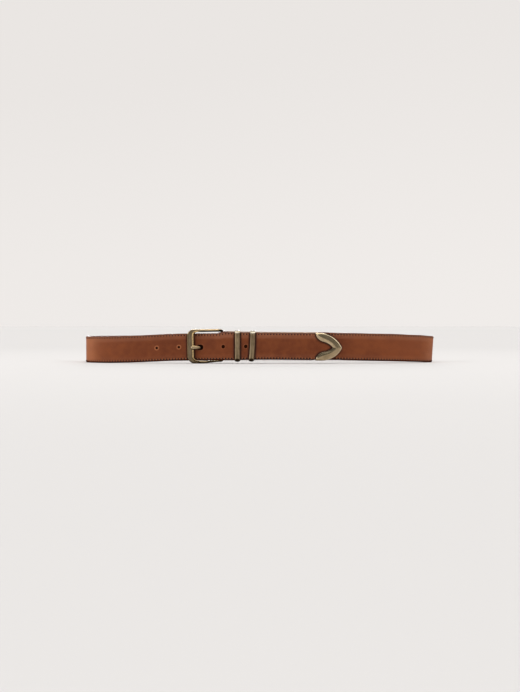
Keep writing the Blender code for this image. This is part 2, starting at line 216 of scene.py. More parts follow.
def measureLoop(shape):
    turn = np.linspace(-math.pi, math.pi, shape["samples"] + 1) - math.pi / 2
    fullness = shape["fullness"] + shape["fullnessSkew"] * np.cos(turn)
    reach = (np.abs(np.cos(turn)) ** fullness + np.abs(np.sin(turn)) ** fullness) ** (-1 / fullness)
    x = shape["halfLength"] * np.cos(turn) * reach
    y = shape["halfDepth"] * np.sin(turn) * reach
    along = np.concatenate(([0.0], np.cumsum(np.hypot(np.diff(x), np.diff(y)))))
    dx = np.gradient(x, along)
    dy = np.gradient(y, along)
    size = np.hypot(dx, dy)
    heading = np.unwrap(np.arctan2(dy, dx))
    return {
        "length": along[-1],
        "along": along - along[shape["samples"] // 2],
        "x": x,
        "y": y,
        "normalX": dy / size,
        "normalY": -dx / size,
        "bend": np.abs(np.gradient(heading, along)),
    }


def liftCurve(rows, length):
    # closed into a loop, with slopes that never overshoot a row
    rows = np.array(rows + ((rows[0][0] + length, rows[0][1]),))
    rise = np.diff(rows[:, 1]) / np.diff(rows[:, 0])
    before = np.roll(rise, 1)
    steady = before * rise > 0
    slopes = np.where(steady, 2 * before * rise / np.where(steady, before + rise, 1.0), 0.0)
    return rows, np.append(slopes, slopes[0])


loop = measureLoop(loopShape)
liftRows, liftSlopes = liftCurve(loopShape["liftRows"], loop["length"])


def wrapAlong(along):
    return (np.asarray(along, dtype=float) - loop["along"][0]) % loop["length"] + loop["along"][0]


def beltPoints(along, out, up):
    s = wrapAlong(along)
    middle, full, none = loopShape["rightLeanSpan"]
    lean = loopShape["rightLean"] * (1.0 - smoothStep(np.abs(s - middle), full, none))
    reach = out - lean * (1.0 - up / strapShape["width"])
    x = np.interp(s, loop["along"], loop["x"]) + reach * np.interp(s, loop["along"], loop["normalX"])
    y = np.interp(s, loop["along"], loop["y"]) + reach * np.interp(s, loop["along"], loop["normalY"])
    return np.stack((x, y + loopShape["shiftY"], up + 0.0 * x), axis=-1)


def strapLift(along):
    s = wrapAlong(along)
    s = np.where(s < liftRows[0, 0], s + loop["length"], s)
    i = np.clip(np.searchsorted(liftRows[:, 0], s, side="right") - 1, 0, len(liftRows) - 2)
    span = liftRows[i + 1, 0] - liftRows[i, 0]
    slopes = span * liftSlopes[i], span * liftSlopes[i + 1]
    return hermite((s - liftRows[i, 0]) / span, liftRows[i, 1], liftRows[i + 1, 1], *slopes)


def innerLift(along):
    return strapLift(along) + loopShape["innerRaise"] * (1.0 - smoothStep(along, *loopShape["innerRaiseEnd"]))


# The pointed tip's outline, which the strap's end and the metal share
tipShape = {
    "start": 0.0610,
    "arcStart": 0.0660,
    "apex": 0.0899,
    "halfHeight": 0.0152,
    "wall": 0.0007,
    "lip": 0.0030,
    "backThick": 0.0008,
    "edgeThick": 0.0009,
    "rimThick": 0.0010,
    "ridgeThick": 0.0020,
    "ridgePlace": 0.38,         # from the inner to the outer edge
    "bead": (0.0007, 0.0006),   # the outer edge's chamfer: width, drop
    "apexDrop": 0.0012,
    "gap": 0.0003,
    "steps": 54,
    "ridgeGrowth": 0.0045,      # run over which the ridge rises from a prong's end
    "innerRows": (
        (0.0610, 0.0139),
        (0.0617, 0.0115),
        (0.0639, 0.0086),
        (0.0674, 0.0064),
        (0.0730, 0.0048),
        (0.0765, 0.0030),
        (0.0797, 0.0000),
    ),
}


def tipCentre(along):
    drop = tipShape["apexDrop"] * smoothStep(along, tipShape["start"], tipShape["apex"])
    return strapLift(along) + strapShape["width"] / 2 - drop


def tipRadius():
    reach = tipShape["apex"] - tipShape["arcStart"]
    return (reach**2 + tipShape["halfHeight"] ** 2) / (2 * tipShape["halfHeight"])


def tipOutline(inset, count):
    # upper half: a straight edge, then one arc to the apex
    radius = tipRadius() - inset
    low = tipRadius() - tipShape["halfHeight"]
    sweep = math.acos(low / radius)
    straight = tipShape["arcStart"] - tipShape["start"]
    run = np.linspace(0.0, straight + radius * sweep, count)
    angle = np.maximum(run - straight, 0.0) / radius
    x = tipShape["start"] + np.minimum(run, straight) + radius * np.sin(angle)
    return np.stack((x, radius * np.cos(angle) - low), axis=-1)


def strapPath():
    # middle of the leather from the folded tab to the point: along, out, thickness, centre, half width
    thick = strapShape["thick"]
    half = strapShape["width"] / 2
    tabOut = -(thick / 2 + 0.0003 + strapShape["tabThick"] / 2)
    foldOut = hinge["out"] - hinge["foldInside"] - strapShape["tabThick"] / 2
    s = np.linspace(strapShape["tabEnd"], hinge["along"], 50, endpoint=False)
    out = foldOut + (tabOut - foldOut) * smoothStep(s, hinge["along"], strapShape["tabRampEnd"])
    parts = [np.stack((s, out, 0 * s + strapShape["tabThick"], innerLift(s) + half, 0 * s + half), axis=-1)]
    part = np.linspace(0.0, 1.0, 40)
    angle = np.radians(270 - 180 * part)
    foldThick = strapShape["tabThick"] + (thick - strapShape["tabThick"]) * part
    radius = hinge["foldInside"] + foldThick / 2
    s = hinge["along"] + radius * np.cos(angle)
    out = hinge["out"] + radius * np.sin(angle)
    parts.append(np.stack((s, out, foldThick, innerLift(s) + half, 0 * s + half), axis=-1))
    lapEnd = loop["length"] + strapShape["ramp"][0]
    s = np.arange(hinge["along"] + 2 * mm, lapEnd, strapShape["pathStep"])
    rise = np.where(s < loop["length"] / 2, innerLift(s), strapLift(s))
    parts.append(np.stack((s, 0 * s, 0 * s + thick, rise + half, 0 * s + half), axis=-1))
    s = np.arange(lapEnd, loop["length"] + strapShape["shoulder"][0], strapShape["pathStep"])
    local = s - loop["length"]
    out = strapShape["secondLayer"] * smoothStep(local, *strapShape["ramp"])
    out += (strapShape["tipLayer"] - strapShape["secondLayer"]) * smoothStep(local, *strapShape["tipRamp"])
    parts.append(np.stack((s, out, 0 * s + thick, strapLift(s) + half, 0 * s + half), axis=-1))
    inset = tipShape["wall"] + tipShape["gap"]
    outline = tipOutline(inset, 60)
    outline[-1, 1] = 0.0004
    ends = [(strapShape["shoulder"][0], half), (strapShape["shoulder"][1], outline[0, 1])]
    s, height = np.concatenate((ends, outline[outline[:, 0] > strapShape["shoulder"][1] + mm])).T
    row = (loop["length"] + s, 0 * s + strapShape["tipLayer"], 0 * s + thick, tipCentre(s), height)
    parts.append(np.stack(row, axis=-1))
    rows = np.concatenate(parts)
    run = np.concatenate(([0.0], np.cumsum(np.hypot(*np.diff(rows[:, :2], axis=0).T))))
    heading = np.gradient(rows[:, :2], run, axis=0)
    heading /= np.linalg.norm(heading, axis=1)[:, None]
    return run, rows, heading


pathRun, pathRows, pathHeading = strapPath()


def runAt(along):
    # length of leather from the tab's end to a place on the strap's last lap
    last = pathRows[:, 0] > 0.1
    return float(np.interp(along + loop["length"], pathRows[last, 0], pathRun[last]))


def runOfInner(along):
    # the same for a place on the inner layer, just past the fold
    turn = int(np.argmin(np.where(pathRows[:, 0] < 0.1, pathRows[:, 0], 1.0)))
    return float(np.interp(along, pathRows[turn:, 0], pathRun[turn:]))


def usedHoleUp():
    # the used hole's height on the strap, level with the tongue
    middle = sum(holes["usedAlong"]) / 2
    return holes["usedUp"] - float(strapLift(middle)) - strapShape["width"] / 2


def topRise(points):
    x, y = np.asarray(points).T[:2]
    front = 1.0 - smoothStep(y, *strapShape["topRowsFront"])
    return np.interp(x, *np.array(strapShape["topRows"]).T) * front


def layStrap(points):
    # bends what is made on a straight strap (run, out, across) round the loop
    run, out, across = np.asarray(points).T
    s, middle, thick, centre, half = (np.interp(run, pathRun, column) for column in pathRows.T)
    ds, dn = (np.interp(run, pathRun, column) for column in pathHeading.T)
    size = np.hypot(ds, dn)
    out = out * thick / strapShape["thick"]
    up = centre + across * half / (strapShape["width"] / 2)
    laid = beltPoints(s - dn / size * out, middle + ds / size * out, up)
    laid[:, 2] += topRise(laid) * smoothStep(across, -0.004, 0.013)
    return laid


print("loop", round(loop["length"], 4), "leather", round(float(pathRun[-1]), 4))


# Camera at the photograph's angle, and just above the surface so that the floor shows
cameraView = {"distance": 1.3, "height": 0.042, "pixels": 1176.5, "frameHeight": 692, "horizon": 325.55}


def addCamera():
    data = bpy.data.cameras.new("camera")
    data.sensor_fit = "VERTICAL"
    data.sensor_height = 36.0
    data.lens = cameraView["pixels"] * 36.0 / cameraView["frameHeight"]
    data.clip_end = 100.0
    camera = bpy.data.objects.new("camera", data)
    scene.collection.objects.link(camera)
    front = beltPoints(0.0, 0.0, 0.0)
    camera.location = (0.0, front[1] - cameraView["distance"], cameraView["height"])
    droop = math.atan((cameraView["frameHeight"] / 2 - cameraView["horizon"]) / cameraView["pixels"])
    camera.rotation_euler = (math.pi / 2 - droop, 0.0, 0.0)
    scene.camera = camera


addCamera()


# Small helpers for node trees
def feed(tree, socket, value):
    if isinstance(value, bpy.types.NodeSocket):
        tree.links.new(value, socket)
    else:
        socket.default_value = value


def addNode(tree, kind, inputs=None, **settings):
    made = tree.nodes.new(kind)
    for name, value in settings.items():
        setattr(made, name, value)
    for name, value in (inputs or {}).items():
        feed(tree, made.inputs[name], value)
    return made


def maths(tree, operation, *values):
    made = addNode(tree, "ShaderNodeMath", operation=operation)
    for socket, value in zip(made.inputs, values):
        feed(tree, socket, value)
    return made.outputs[0]


def times(tree, first, second):
    return maths(tree, "MULTIPLY", first, second)


def plus(tree, first, second):
    return maths(tree, "ADD", first, second)


def minus(tree, first, second):
    return maths(tree, "SUBTRACT", first, second)


def magnitude(tree, value):
    return maths(tree, "ABSOLUTE", value)


def painted(tree, name):
    # a value that was written on the mesh
    return addNode(tree, "ShaderNodeAttribute", attribute_name=name).outputs["Fac"]


def fade(tree, value, start, end, low=0.0, high=1.0):
    inputs = {"Value": value, "From Min": start, "From Max": end, "To Min": low, "To Max": high}
    return addNode(tree, "ShaderNodeMapRange", inputs, interpolation_type="SMOOTHSTEP").outputs[0]


def between(tree, value, start, full, last, end):
    return times(tree, fade(tree, value, start, full), fade(tree, value, end, last))


def mixColours(tree, factor, first, second, blend="MIX"):
    made = addNode(tree, "ShaderNodeMix", data_type="RGBA", blend_type=blend)
    for number, value in ((0, factor), (6, first), (7, second)):
        feed(tree, made.inputs[number], value)
    return made.outputs[2]


def noise(tree, vector, scale, detail=2.0, roughness=0.5):
    inputs = {"Vector": vector, "Scale": scale, "Detail": detail, "Roughness": roughness}
    return addNode(tree, "ShaderNodeTexNoise", inputs).outputs[0]


def stretched(tree, vector, scale):
    return addNode(tree, "ShaderNodeMapping", {"Vector": vector, "Scale": scale}).outputs[0]


def rgb(red, green, blue):
    # display colour 0 to 255 as the shader's linear one
    parts = [c / 255 for c in (red, green, blue)]
    return (*[p / 12.92 if p <= 0.04045 else ((p + 0.055) / 1.055) ** 2.4 for p in parts], 1.0)


def newGroup(name, inputs, outputs):
    # an input without a value is a vector, and every output is a plain value
    group = bpy.data.node_groups.new(name, "ShaderNodeTree")
    for label, value in inputs.items():
        kind = "NodeSocketVector" if value is None else "NodeSocketFloat"
        socket = group.interface.new_socket(name=label, in_out="INPUT", socket_type=kind)
        if value is not None:
            socket.default_value = value
    for label in outputs:
        group.interface.new_socket(name=label, in_out="OUTPUT", socket_type="NodeSocketFloat")
    return group, group.nodes.new("NodeGroupInput").outputs, group.nodes.new("NodeGroupOutput").inputs


def placeGroup(tree, group, inputs):
    return addNode(tree, "ShaderNodeGroup", inputs, node_tree=group).outputs


def leatherGrainGroup():
    inputs = {"Vector": None, "Pores": 1500.0, "Depth": 0.1}
    group, given, wanted = newGroup("leatherGrain", inputs, ("Mottle", "Nap", "Height"))
    vector = given["Vector"]
    cloud = noise(group, vector, 38.0, 4.0, 0.6)
    patch = noise(group, vector, 150.0, 3.0, 0.55)
    mottle = plus(group, times(group, cloud, 0.6), times(group, patch, 0.4))
    feed(group, wanted["Mottle"], fade(group, mottle, 0.36, 0.64))
    cells = addNode(group, "ShaderNodeTexVoronoi", {"Vector": vector, "Scale": given["Pores"]}, feature="F1")
    fuzz = noise(group, vector, 5200.0, 2.0, 0.6)
    creases = noise(group, stretched(group, vector, (0.6, 1.0, 1.6)), 420.0, 3.0, 0.6)
    feed(group, wanted["Nap"], fade(group, fuzz, 0.3, 0.7))
    height = plus(group, times(group, cells.outputs["Distance"], -0.5), fuzz)
    height = plus(group, height, times(group, creases, 0.8))
    feed(group, wanted["Height"], times(group, height, given["Depth"]))
    return group


def brushedMetalGroup():
    inputs = {"Grain": None, "Surface": None, "Fineness": 1.0}
    group, given, wanted = newGroup("brushedMetal", inputs, ("Streak", "Cloud", "Speck"))
    lines = addNode(group, "ShaderNodeVectorMath", {0: given["Grain"]}, operation="SCALE")
    feed(group, lines.inputs["Scale"], given["Fineness"])
    coarse = noise(group, stretched(group, lines.outputs[0], (60.0, 1500.0, 1.0)), 1.0, 3.0, 0.6)
    fine = noise(group, stretched(group, lines.outputs[0], (160.0, 6000.0, 1.0)), 1.0, 2.0, 0.6)
    streak = plus(group, times(group, coarse, 0.6), times(group, fine, 0.4))
    feed(group, wanted["Streak"], fade(group, streak, 0.34, 0.66))
    feed(group, wanted["Cloud"], fade(group, noise(group, given["Surface"], 170.0, 4.0, 0.6), 0.36, 0.66))
    feed(group, wanted["Speck"], fade(group, noise(group, given["Surface"], 1300.0, 3.0, 0.7), 0.60, 0.72))
    return group


leatherGrain = leatherGrainGroup()
brushedMetal = brushedMetalGroup()
print("node groups made")


def newMaterial(name):
    material = bpy.data.materials.new(name)
    material.use_nodes = True
    tree = material.node_tree
    return material, tree, tree.nodes["Principled BSDF"].inputs


def addBump(tree, height, strength, distance, before=None):
    inputs = {"Height": height, "Strength": strength, "Distance": distance}
    if before is not None:
        inputs["Normal"] = before
    return addNode(tree, "ShaderNodeBump", inputs).outputs[0]


leatherLook = {
    "brown": rgb(128, 66, 33),
    "deep": rgb(108, 51, 23),
    "light": rgb(156, 84, 45),          # painted light: paler towards either side of the front, where more light falls
    "wornAndLit": rgb(168, 101, 64),          # where it is bent: pull-up leather is paler where stretched, plus painted light on the lit ends; also the painted highlight on the hole rings
    "puckerHighlight": rgb(190, 120, 82),        # painted highlight on the leather puckered between stitches
    "edge": rgb(68, 32, 19),
    "edgeRaw": rgb(168, 142, 122),      # the inner layer's upper edge
    # the upper edge is painted lighter: painted light on the edge paint
    "edgeLitTop": rgb(92, 52, 36),
    # the flesh side, painted darker to stand in for the shade inside the loop
    "fleshInShade": rgb(104, 64, 42),
    # painted shade inside the holes
    "holeShade": rgb(9, 4, 3),
    "metalShadow": rgb(40, 15, 9),           # painted shadow beside the metal
    "shoulderHighlight": rgb(156, 100, 74),         # painted highlight on the raised band inside the stitching, stronger on the upper side where light falls from above
    "shoulderHighlightFrom": (0.0070, 0.0106),      # how far that band lies from the middle
    "shoulderHighlightShare": 0.62,
    "covered": (-0.034, -0.031, 0.048, 0.052),  # where the outer layer lies on the inner one, painted shade seen through the holes
    "coveredHalf": (0.0070, 0.0040),
    "rawEdge": (-0.036, -0.034, 0.062, 0.066),
    "sideEdge": (0.0138, 0.0142),
    # the lower edge's dark band reaches further in: painted shade
    "lowerEdgeShade": (-0.0132, -0.0137),
    "roughness": 0.62,
    "specular": 0.2,
    "sheen": 0.15,
    "sheenRoughness": 0.45,
    "sheenTint": rgb(214, 158, 128),
    "pores": 1500.0,
}

stitchShape = {
    "pitch": 0.0033,
    "length": 0.0021,
    "thick": 0.00125,
    "fromMiddle": 0.0130,
    "sink": 0.00040,            # how deep a stitch lies below the face
    "dive": 0.55,               # and how far its ends go in, in thicknesses
    "slant": 0.05,
    "lastAt": 0.0590,
    "litEndsFrom": (0.168, 0.187),     # painted light: the thread is paler at the lit ends, where the belt bends
    "litEndsMiddle": 0.008,
    "litEndsShare": 0.75,
    # paint beside the thread: how far across the row, how far along from a stitch's middle in pitches
    "channelHalf": (0.0007, 0.0002),
    "channelShare": 0.10,
    "underHalf": (0.00042, 0.00020),
    "underAlong": (0.36, 0.30),
    "puckerHalf": (0.0010, 0.0005),
    "puckerAlong": (0.30, 0.38),
    "puckerShare": 0.75,
}


def paintBody(tree, grain, across, side, place):
    # pull-up colour: deeper and lighter clouds, paler where the strap is bent (pull-up lightening with
    # painted light on the lit ends), painted side light, and a painted highlight on the raised band inside
    # the stitching
    look = leatherLook
    colour = mixColours(tree, grain["Mottle"], look["deep"], look["brown"])
    colour = mixColours(tree, painted(tree, "paintedSideLight"), colour, look["light"])
    band = times(tree, fade(tree, side, *look["shoulderHighlightFrom"]), fade(tree, across, -0.002, 0.004, 0.25, 1.0))
    patchy = noise(tree, stretched(tree, place, (0.5, 1.0, 1.0)), 48.0, 3.0, 0.6)
    band = times(tree, band, fade(tree, patchy, 0.35, 0.7, 0.55, 1.0))
    colour = mixColours(tree, times(tree, band, look["shoulderHighlightShare"]), colour, look["shoulderHighlight"])
    rub = noise(tree, stretched(tree, place, (0.35, 1.0, 1.0)), 60.0, 4.0, 0.65)
    wornAndLit = times(tree, painted(tree, "bend"), fade(tree, rub, 0.25, 0.65, 0.6, 1.0))
    colour = mixColours(tree, wornAndLit, colour, look["wornAndLit"])
    nap = fade(tree, grain["Nap"], 0.0, 1.0, 0.90, 1.08)
    napColour = addNode(tree, "ShaderNodeCombineColor", {"Red": nap, "Green": nap, "Blue": nap})
    return mixColours(tree, 1.0, colour, napColour.outputs[0], "MULTIPLY")


def paintStitching(tree, colour, run, side):
    # the stitched channel is painted darker as shade, dips under each stitch, and has a painted highlight
    # where it puckers between them
    look, shape = leatherLook, stitchShape
    lane = magnitude(tree, minus(tree, side, shape["fromMiddle"]))
    beat = maths(tree, "FRACT", maths(tree, "DIVIDE", run, shape["pitch"]))
    beat = magnitude(tree, minus(tree, beat, 0.5))
    channel = fade(tree, lane, *shape["channelHalf"])
    under = times(tree, fade(tree, lane, *shape["underHalf"]), fade(tree, beat, *shape["underAlong"]))
    puckerHighlight = times(tree, fade(tree, lane, *shape["puckerHalf"]), fade(tree, beat, *shape["puckerAlong"]))
    colour = mixColours(tree, times(tree, channel, shape["channelShare"]), colour, look["edge"])
    colour = mixColours(tree, times(tree, puckerHighlight, shape["puckerShare"]), colour, look["puckerHighlight"])
    return colour, under


def holeReach(tree, run, across, side):
    # how far from the middle of the nearest hole, as if each was round and alike, and its number
    fromFirst = minus(tree, run, runAt(holes["first"]))
    index = maths(tree, "ROUND", maths(tree, "DIVIDE", fromFirst, holes["pitch"]))
    index = maths(tree, "MINIMUM", maths(tree, "MAXIMUM", index, 0.0), holes["count"] - 1.0)
    spot = minus(tree, fromFirst, times(tree, index, holes["pitch"]))
    isUsed = maths(tree, "COMPARE", index, float(holes["used"]), 0.1)
    start, end = holes["usedAlong"]
    usedMiddle = (start + end) / 2 - holes["first"] - holes["used"] * holes["pitch"]
    drawn = magnitude(tree, minus(tree, spot, usedMiddle))
    drawn = maths(tree, "MAXIMUM", minus(tree, drawn, (end - start - holes["usedWidth"]) / 2), 0.0)
    usedUp = magnitude(tree, minus(tree, across, usedHoleUp()))
    along = addNode(tree, "ShaderNodeMix", {0: isUsed, 2: magnitude(tree, spot), 3: drawn}).outputs[0]
    aside = addNode(tree, "ShaderNodeMix", {0: isUsed, 2: side, 3: usedUp}).outputs[0]
    reach = maths(tree, "SQRT", plus(tree, times(tree, along, along), times(tree, aside, aside)))
    return minus(tree, reach, times(tree, isUsed, holes["usedWidth"] / 2 - holes["radius"])), index


def paintHoles(tree, colour, run, across, side):
    # painted shade inside, a pressed ring round each with a painted highlight, stronger on the rims before
    # the buckle
    look = leatherLook
    reach, index = holeReach(tree, run, across, side)
    free = fade(tree, index, holes["used"] - 0.4, holes["used"] - 0.6)
    inner = plus(tree, reach, times(tree, free, holes["rimWider"]))
    ring = times(tree, fade(tree, inner, *holes["ringInner"]), fade(tree, reach, *holes["ringOuter"]))
    share = times(tree, ring, fade(tree, free, 0.0, 1.0, *holes["ringShare"]))
    colour = mixColours(tree, share, colour, look["wornAndLit"])
    inside = fade(tree, inner, *holes["darkInside"])
    colour = mixColours(tree, times(tree, inside, 0.9), colour, look["holeShade"])
    # painted shade: the inner layer is dark where the outer one lies on it, seen through the holes
    covered = between(tree, run, *(runOfInner(s) for s in look["covered"]))
    covered = times(tree, covered, fade(tree, side, *look["coveredHalf"]))
    colour = mixColours(tree, times(tree, covered, 0.9), colour, look["holeShade"])
    return colour, ring, maths(tree, "MAXIMUM", inside, covered)


def leatherMaterial():
    look = leatherLook
    material, tree, shader = newMaterial("pull_up_leather")
    place = addNode(tree, "ShaderNodeAttribute", attribute_name="leather").outputs["Vector"]
    run, out, across = addNode(tree, "ShaderNodeSeparateXYZ", {"Vector": place}).outputs
    side = magnitude(tree, across)
    grain = placeGroup(tree, leatherGrain, {"Vector": place, "Pores": look["pores"], "Depth": 1.0})
    colour = paintBody(tree, grain, across, side, place)
    colour, under = paintStitching(tree, colour, run, side)
    # painted shadow on the leather beside the metal
    colour = mixColours(tree, times(tree, painted(tree, "metalShadow"), 0.9), colour, look["metalShadow"])
    colour, ring, unlit = paintHoles(tree, colour, run, across, side)
    # painted edges, lighter on top and darker below as painted light and shade, and the flesh side that faces
    # in, painted darker as the shade inside the loop
    back = fade(tree, out, -0.0009, -0.0013)
    colour = mixColours(tree, times(tree, back, 0.8), colour, look["fleshInShade"])
    top = fade(tree, across, 0.0, 0.001)
    edge = maths(tree, "MAXIMUM", fade(tree, side, *look["sideEdge"]), fade(tree, across, *look["lowerEdgeShade"]))
    raw = between(tree, run, *(runOfInner(s) for s in look["rawEdge"]))
    topColour = mixColours(tree, raw, look["edgeLitTop"], look["edgeRaw"])
    edgeColour = mixColours(tree, top, look["edge"], topColour)
    feed(tree, shader["Base Color"], mixColours(tree, edge, colour, edgeColour))
    rough = fade(tree, grain["Mottle"], 0.0, 1.0, look["roughness"] - 0.06, look["roughness"] + 0.06)
    rough = plus(tree, rough, times(tree, back, 0.15))
    feed(tree, shader["Roughness"], minus(tree, rough, times(tree, edge, 0.16)))
    beneath = times(tree, edge, minus(tree, 1.0, top))
    lustre = minus(tree, 1.0, maths(tree, "MAXIMUM", unlit, beneath))
    feed(tree, shader["Specular IOR Level"], times(tree, lustre, look["specular"]))
    feed(tree, shader["Sheen Weight"], times(tree, lustre, look["sheen"]))
    shader["Sheen Roughness"].default_value = look["sheenRoughness"]
    shader["Sheen Tint"].default_value = look["sheenTint"]
    calm = minus(tree, 1.0, times(tree, edge, 0.7))
    normal = addBump(tree, times(tree, grain["Height"], calm), 0.32, 0.00022)
    pressed = minus(tree, times(tree, ring, 0.6), under)
    feed(tree, shader["Normal"], addBump(tree, pressed, 0.6, 0.0003, normal))
    return material


threadLook = {
    "dark": rgb(14, 5, 3),
    "light": rgb(34, 15, 10),
    # painted light: the thread's colour on the lit ends
    "wornAndLit": rgb(92, 54, 36),
    "roughness": 0.6,
    "twist": (0.0, math.radians(38), 0.0),
    "strands": 420.0,
}


def threadMaterial():
    look = threadLook
    material, tree, shader = newMaterial("waxed_thread")
    place = addNode(tree, "ShaderNodeAttribute", attribute_name="leather").outputs["Vector"]
    turned = addNode(tree, "ShaderNodeMapping", {"Vector": place, "Rotation": look["twist"]}).outputs[0]
    waves = {"Vector": turned, "Scale": look["strands"], "Distortion": 0.4}
    twist = addNode(tree, "ShaderNodeTexWave", waves).outputs["Fac"]
    lint = noise(tree, place, 2600.0, 2.0, 0.6)
    tone = plus(tree, times(tree, twist, 0.6), times(tree, lint, 0.4))
    colour = mixColours(tree, fade(tree, tone, 0.2, 0.8), look["dark"], look["light"])
    paintedSideLight = painted(tree, "paintedSideLight")
    feed(tree, shader["Base Color"], mixColours(tree, paintedSideLight, colour, look["wornAndLit"]))
    rough = look["roughness"]
    feed(tree, shader["Roughness"], fade(tree, lint, 0.3, 0.7, rough - 0.08, rough + 0.08))
    shader["Specular IOR Level"].default_value = 0.35
    feed(tree, shader["Normal"], addBump(tree, twist, 0.5, 0.0001))
    return material


def brassMaterial(look):
    material, tree, shader = newMaterial(look["name"])
    grainMap = addNode(tree, "ShaderNodeUVMap", uv_map="grain").outputs[0]
    surface = addNode(tree, "ShaderNodeTexCoord").outputs["Object"]
    ridge = painted(tree, "ridge")
    inputs = {"Grain": grainMap, "Surface": surface, "Fineness": look["fineness"]}
    metal = placeGroup(tree, brushedMetal, inputs)
    colour = mixColours(tree, metal["Streak"], look["dark"], look["brass"])
    colour = mixColours(tree, times(tree, metal["Cloud"], look["cloudiness"]), colour, look["olive"])
    facing = painted(tree, "facingUp")
    # painted shade: faces that point up are darker olive
    colour = mixColours(tree, fade(tree, facing, 0.02, 0.20, 0.0, look["oliveShadeTop"]), colour, look["olive"])
    bright = times(tree, fade(tree, ridge, *look["edges"]), fade(tree, metal["Cloud"], 0.0, 1.0, 1.0, 0.7))
    colour = mixColours(tree, times(tree, bright, look["wear"]), colour, look["wornAndLit"])
    hollow = fade(tree, ridge, 0.46, 0.30)
    colour = mixColours(tree, times(tree, hollow, look["hollows"]), colour, look["patinaAndShade"])
    # the rim is worn bright and painted with a highlight, less where it faces down or up
    rim = painted(tree, "rim")
    rim = times(tree, rim, fade(tree, facing, -0.75, 0.15))
    rim = times(tree, rim, fade(tree, facing, 0.40, 0.75, 1.0, 0.35))
    colour = mixColours(tree, rim, colour, look["wornAndLit"])
    # painted highlight on faces that point part way up
    clean = fade(tree, metal["Cloud"], 0.0, 1.0, 1.0, 0.6)
    paintedTopHighlight = times(tree, fade(tree, facing, *look["topHighlight"]), clean)
    colour = mixColours(tree, paintedTopHighlight, colour, look["wornAndLit"])
    # painted shade on faces that point up
    colour = mixColours(tree, fade(tree, facing, 0.56, 0.74, 0.0, look["topShade"]), colour, look["patinaAndShade"])
    # painted shade where it falls on the metal, and a darker upper half on one keeper
    tarnishAndShade = painted(tree, "tarnishAndShade")
    colour = mixColours(tree, times(tree, tarnishAndShade, fade(tree, facing, 0.97, 0.70)), colour, look["patinaAndShade"])
    # painted shade on the buckle's lower arm
    paintedShade = painted(tree, "paintedShade")
    colour = mixColours(tree, paintedShade, colour, look["patinaAndShade"])
    # painted shade on the undersides
    low = fade(tree, facing, *look["underShade"])
    colour = mixColours(tree, times(tree, low, 0.97), colour, look["patinaAndShade"])
    colour = mixColours(tree, times(tree, metal["Speck"], 0.35), colour, look["patinaAndShade"])
    feed(tree, shader["Base Color"], colour)
    shader["Metallic"].default_value = 1.0
    rough = fade(tree, metal["Streak"], 0.0, 1.0, look["roughness"] + 0.07, look["roughness"] - 0.05)
    rough = minus(tree, rough, times(tree, bright, 0.10))
    rough = plus(tree, rough, times(tree, maths(tree, "MAXIMUM", hollow, low), 0.2))
    feed(tree, shader["Roughness"], rough)
    dents = noise(tree, surface, 420.0, 2.0, 0.5)
    normal = addBump(tree, metal["Streak"], look["brushing"], 0.00008)
    feed(tree, shader["Normal"], addBump(tree, dents, 0.12, 0.0003, normal))
    return material


# the darkest colour in each look serves both patina in hollows and painted shade, and the brightest both worn
# edges and painted highlights
brassLooks = {
    "buckle": {
        "name": "antique_brass_buckle",
        "brass": rgb(166, 145, 116),
        "dark": rgb(122, 107, 85),
        "olive": rgb(106, 96, 76),
        "oliveShadeTop": 0.0,
        "wornAndLit": rgb(206, 176, 126),
        "patinaAndShade": rgb(30, 24, 16),
        "cloudiness": 0.45,
        "wear": 0.9,
        "edges": (0.70, 0.90),
        "hollows": 0.25,
        "topHighlight": (0.30, 0.90),
        "topShade": 0.0,
        "underShade": (0.05, -0.32),
        "roughness": 0.34,
        "fineness": 1.0,
        "brushing": 0.22,
    },
    "keeper": {
        "name": "antique_brass_keeper",
        "brass": rgb(192, 166, 130),
        "dark": rgb(112, 96, 73),
        "olive": rgb(118, 104, 79),
        "oliveShadeTop": 0.0,
        "wornAndLit": rgb(208, 197, 174),
        "patinaAndShade": rgb(40, 31, 19),
        "cloudiness": 0.4,
        "wear": 0.5,
        "edges": (0.60, 0.86),
        "hollows": 0.85,
        "topHighlight": (0.00, 0.30),
        "topShade": 0.8,
        "underShade": (0.0, -0.30),
        "roughness": 0.33,
        "fineness": 1.0,
        "brushing": 0.26,
    },
    "tip": {
        "name": "antique_brass_tip",
        "brass": rgb(162, 137, 102),
        "dark": rgb(120, 101, 74),
        "olive": rgb(92, 86, 58),
        "oliveShadeTop": 0.55,
        "wornAndLit": rgb(236, 214, 178),
        "patinaAndShade": rgb(40, 32, 22),
        "cloudiness": 0.35,
        "wear": 0.5,
        "edges": (0.60, 0.86),
        "hollows": 0.85,
        "topHighlight": (0.5, 1.7),
        "topShade": 0.0,
        "underShade": (-0.60, -0.95),
        "roughness": 0.33,
        "fineness": 0.9,
        "brushing": 0.22,
    },
}

# the tongue is the buckle's brass painted lighter, a painted highlight for the light that falls on it
brassLooks["tongue"] = {
    **brassLooks["buckle"],
    "name": "antique_brass_tongue",
    "brass": rgb(228, 203, 164),
    "dark": rgb(180, 158, 124),
    "olive": rgb(132, 122, 90),
}

leather = leatherMaterial()
thread = threadMaterial()
brass = {name: brassMaterial(look) for name, look in brassLooks.items()}
print("materials made")


# Making pieces
def meshFrom(bm, name):
    mesh = bpy.data.meshes.new(name)
    bm.to_mesh(mesh)
    bm.free()
    return mesh


def meshPoints(mesh):
    points = np.empty(len(mesh.vertices) * 3)
    mesh.vertices.foreach_get("co", points)
    return points.reshape(-1, 3)


def writePoints(mesh, points):
    mesh.vertices.foreach_set("co", np.ascontiguousarray(points, dtype=np.float32).ravel())
    mesh.update()


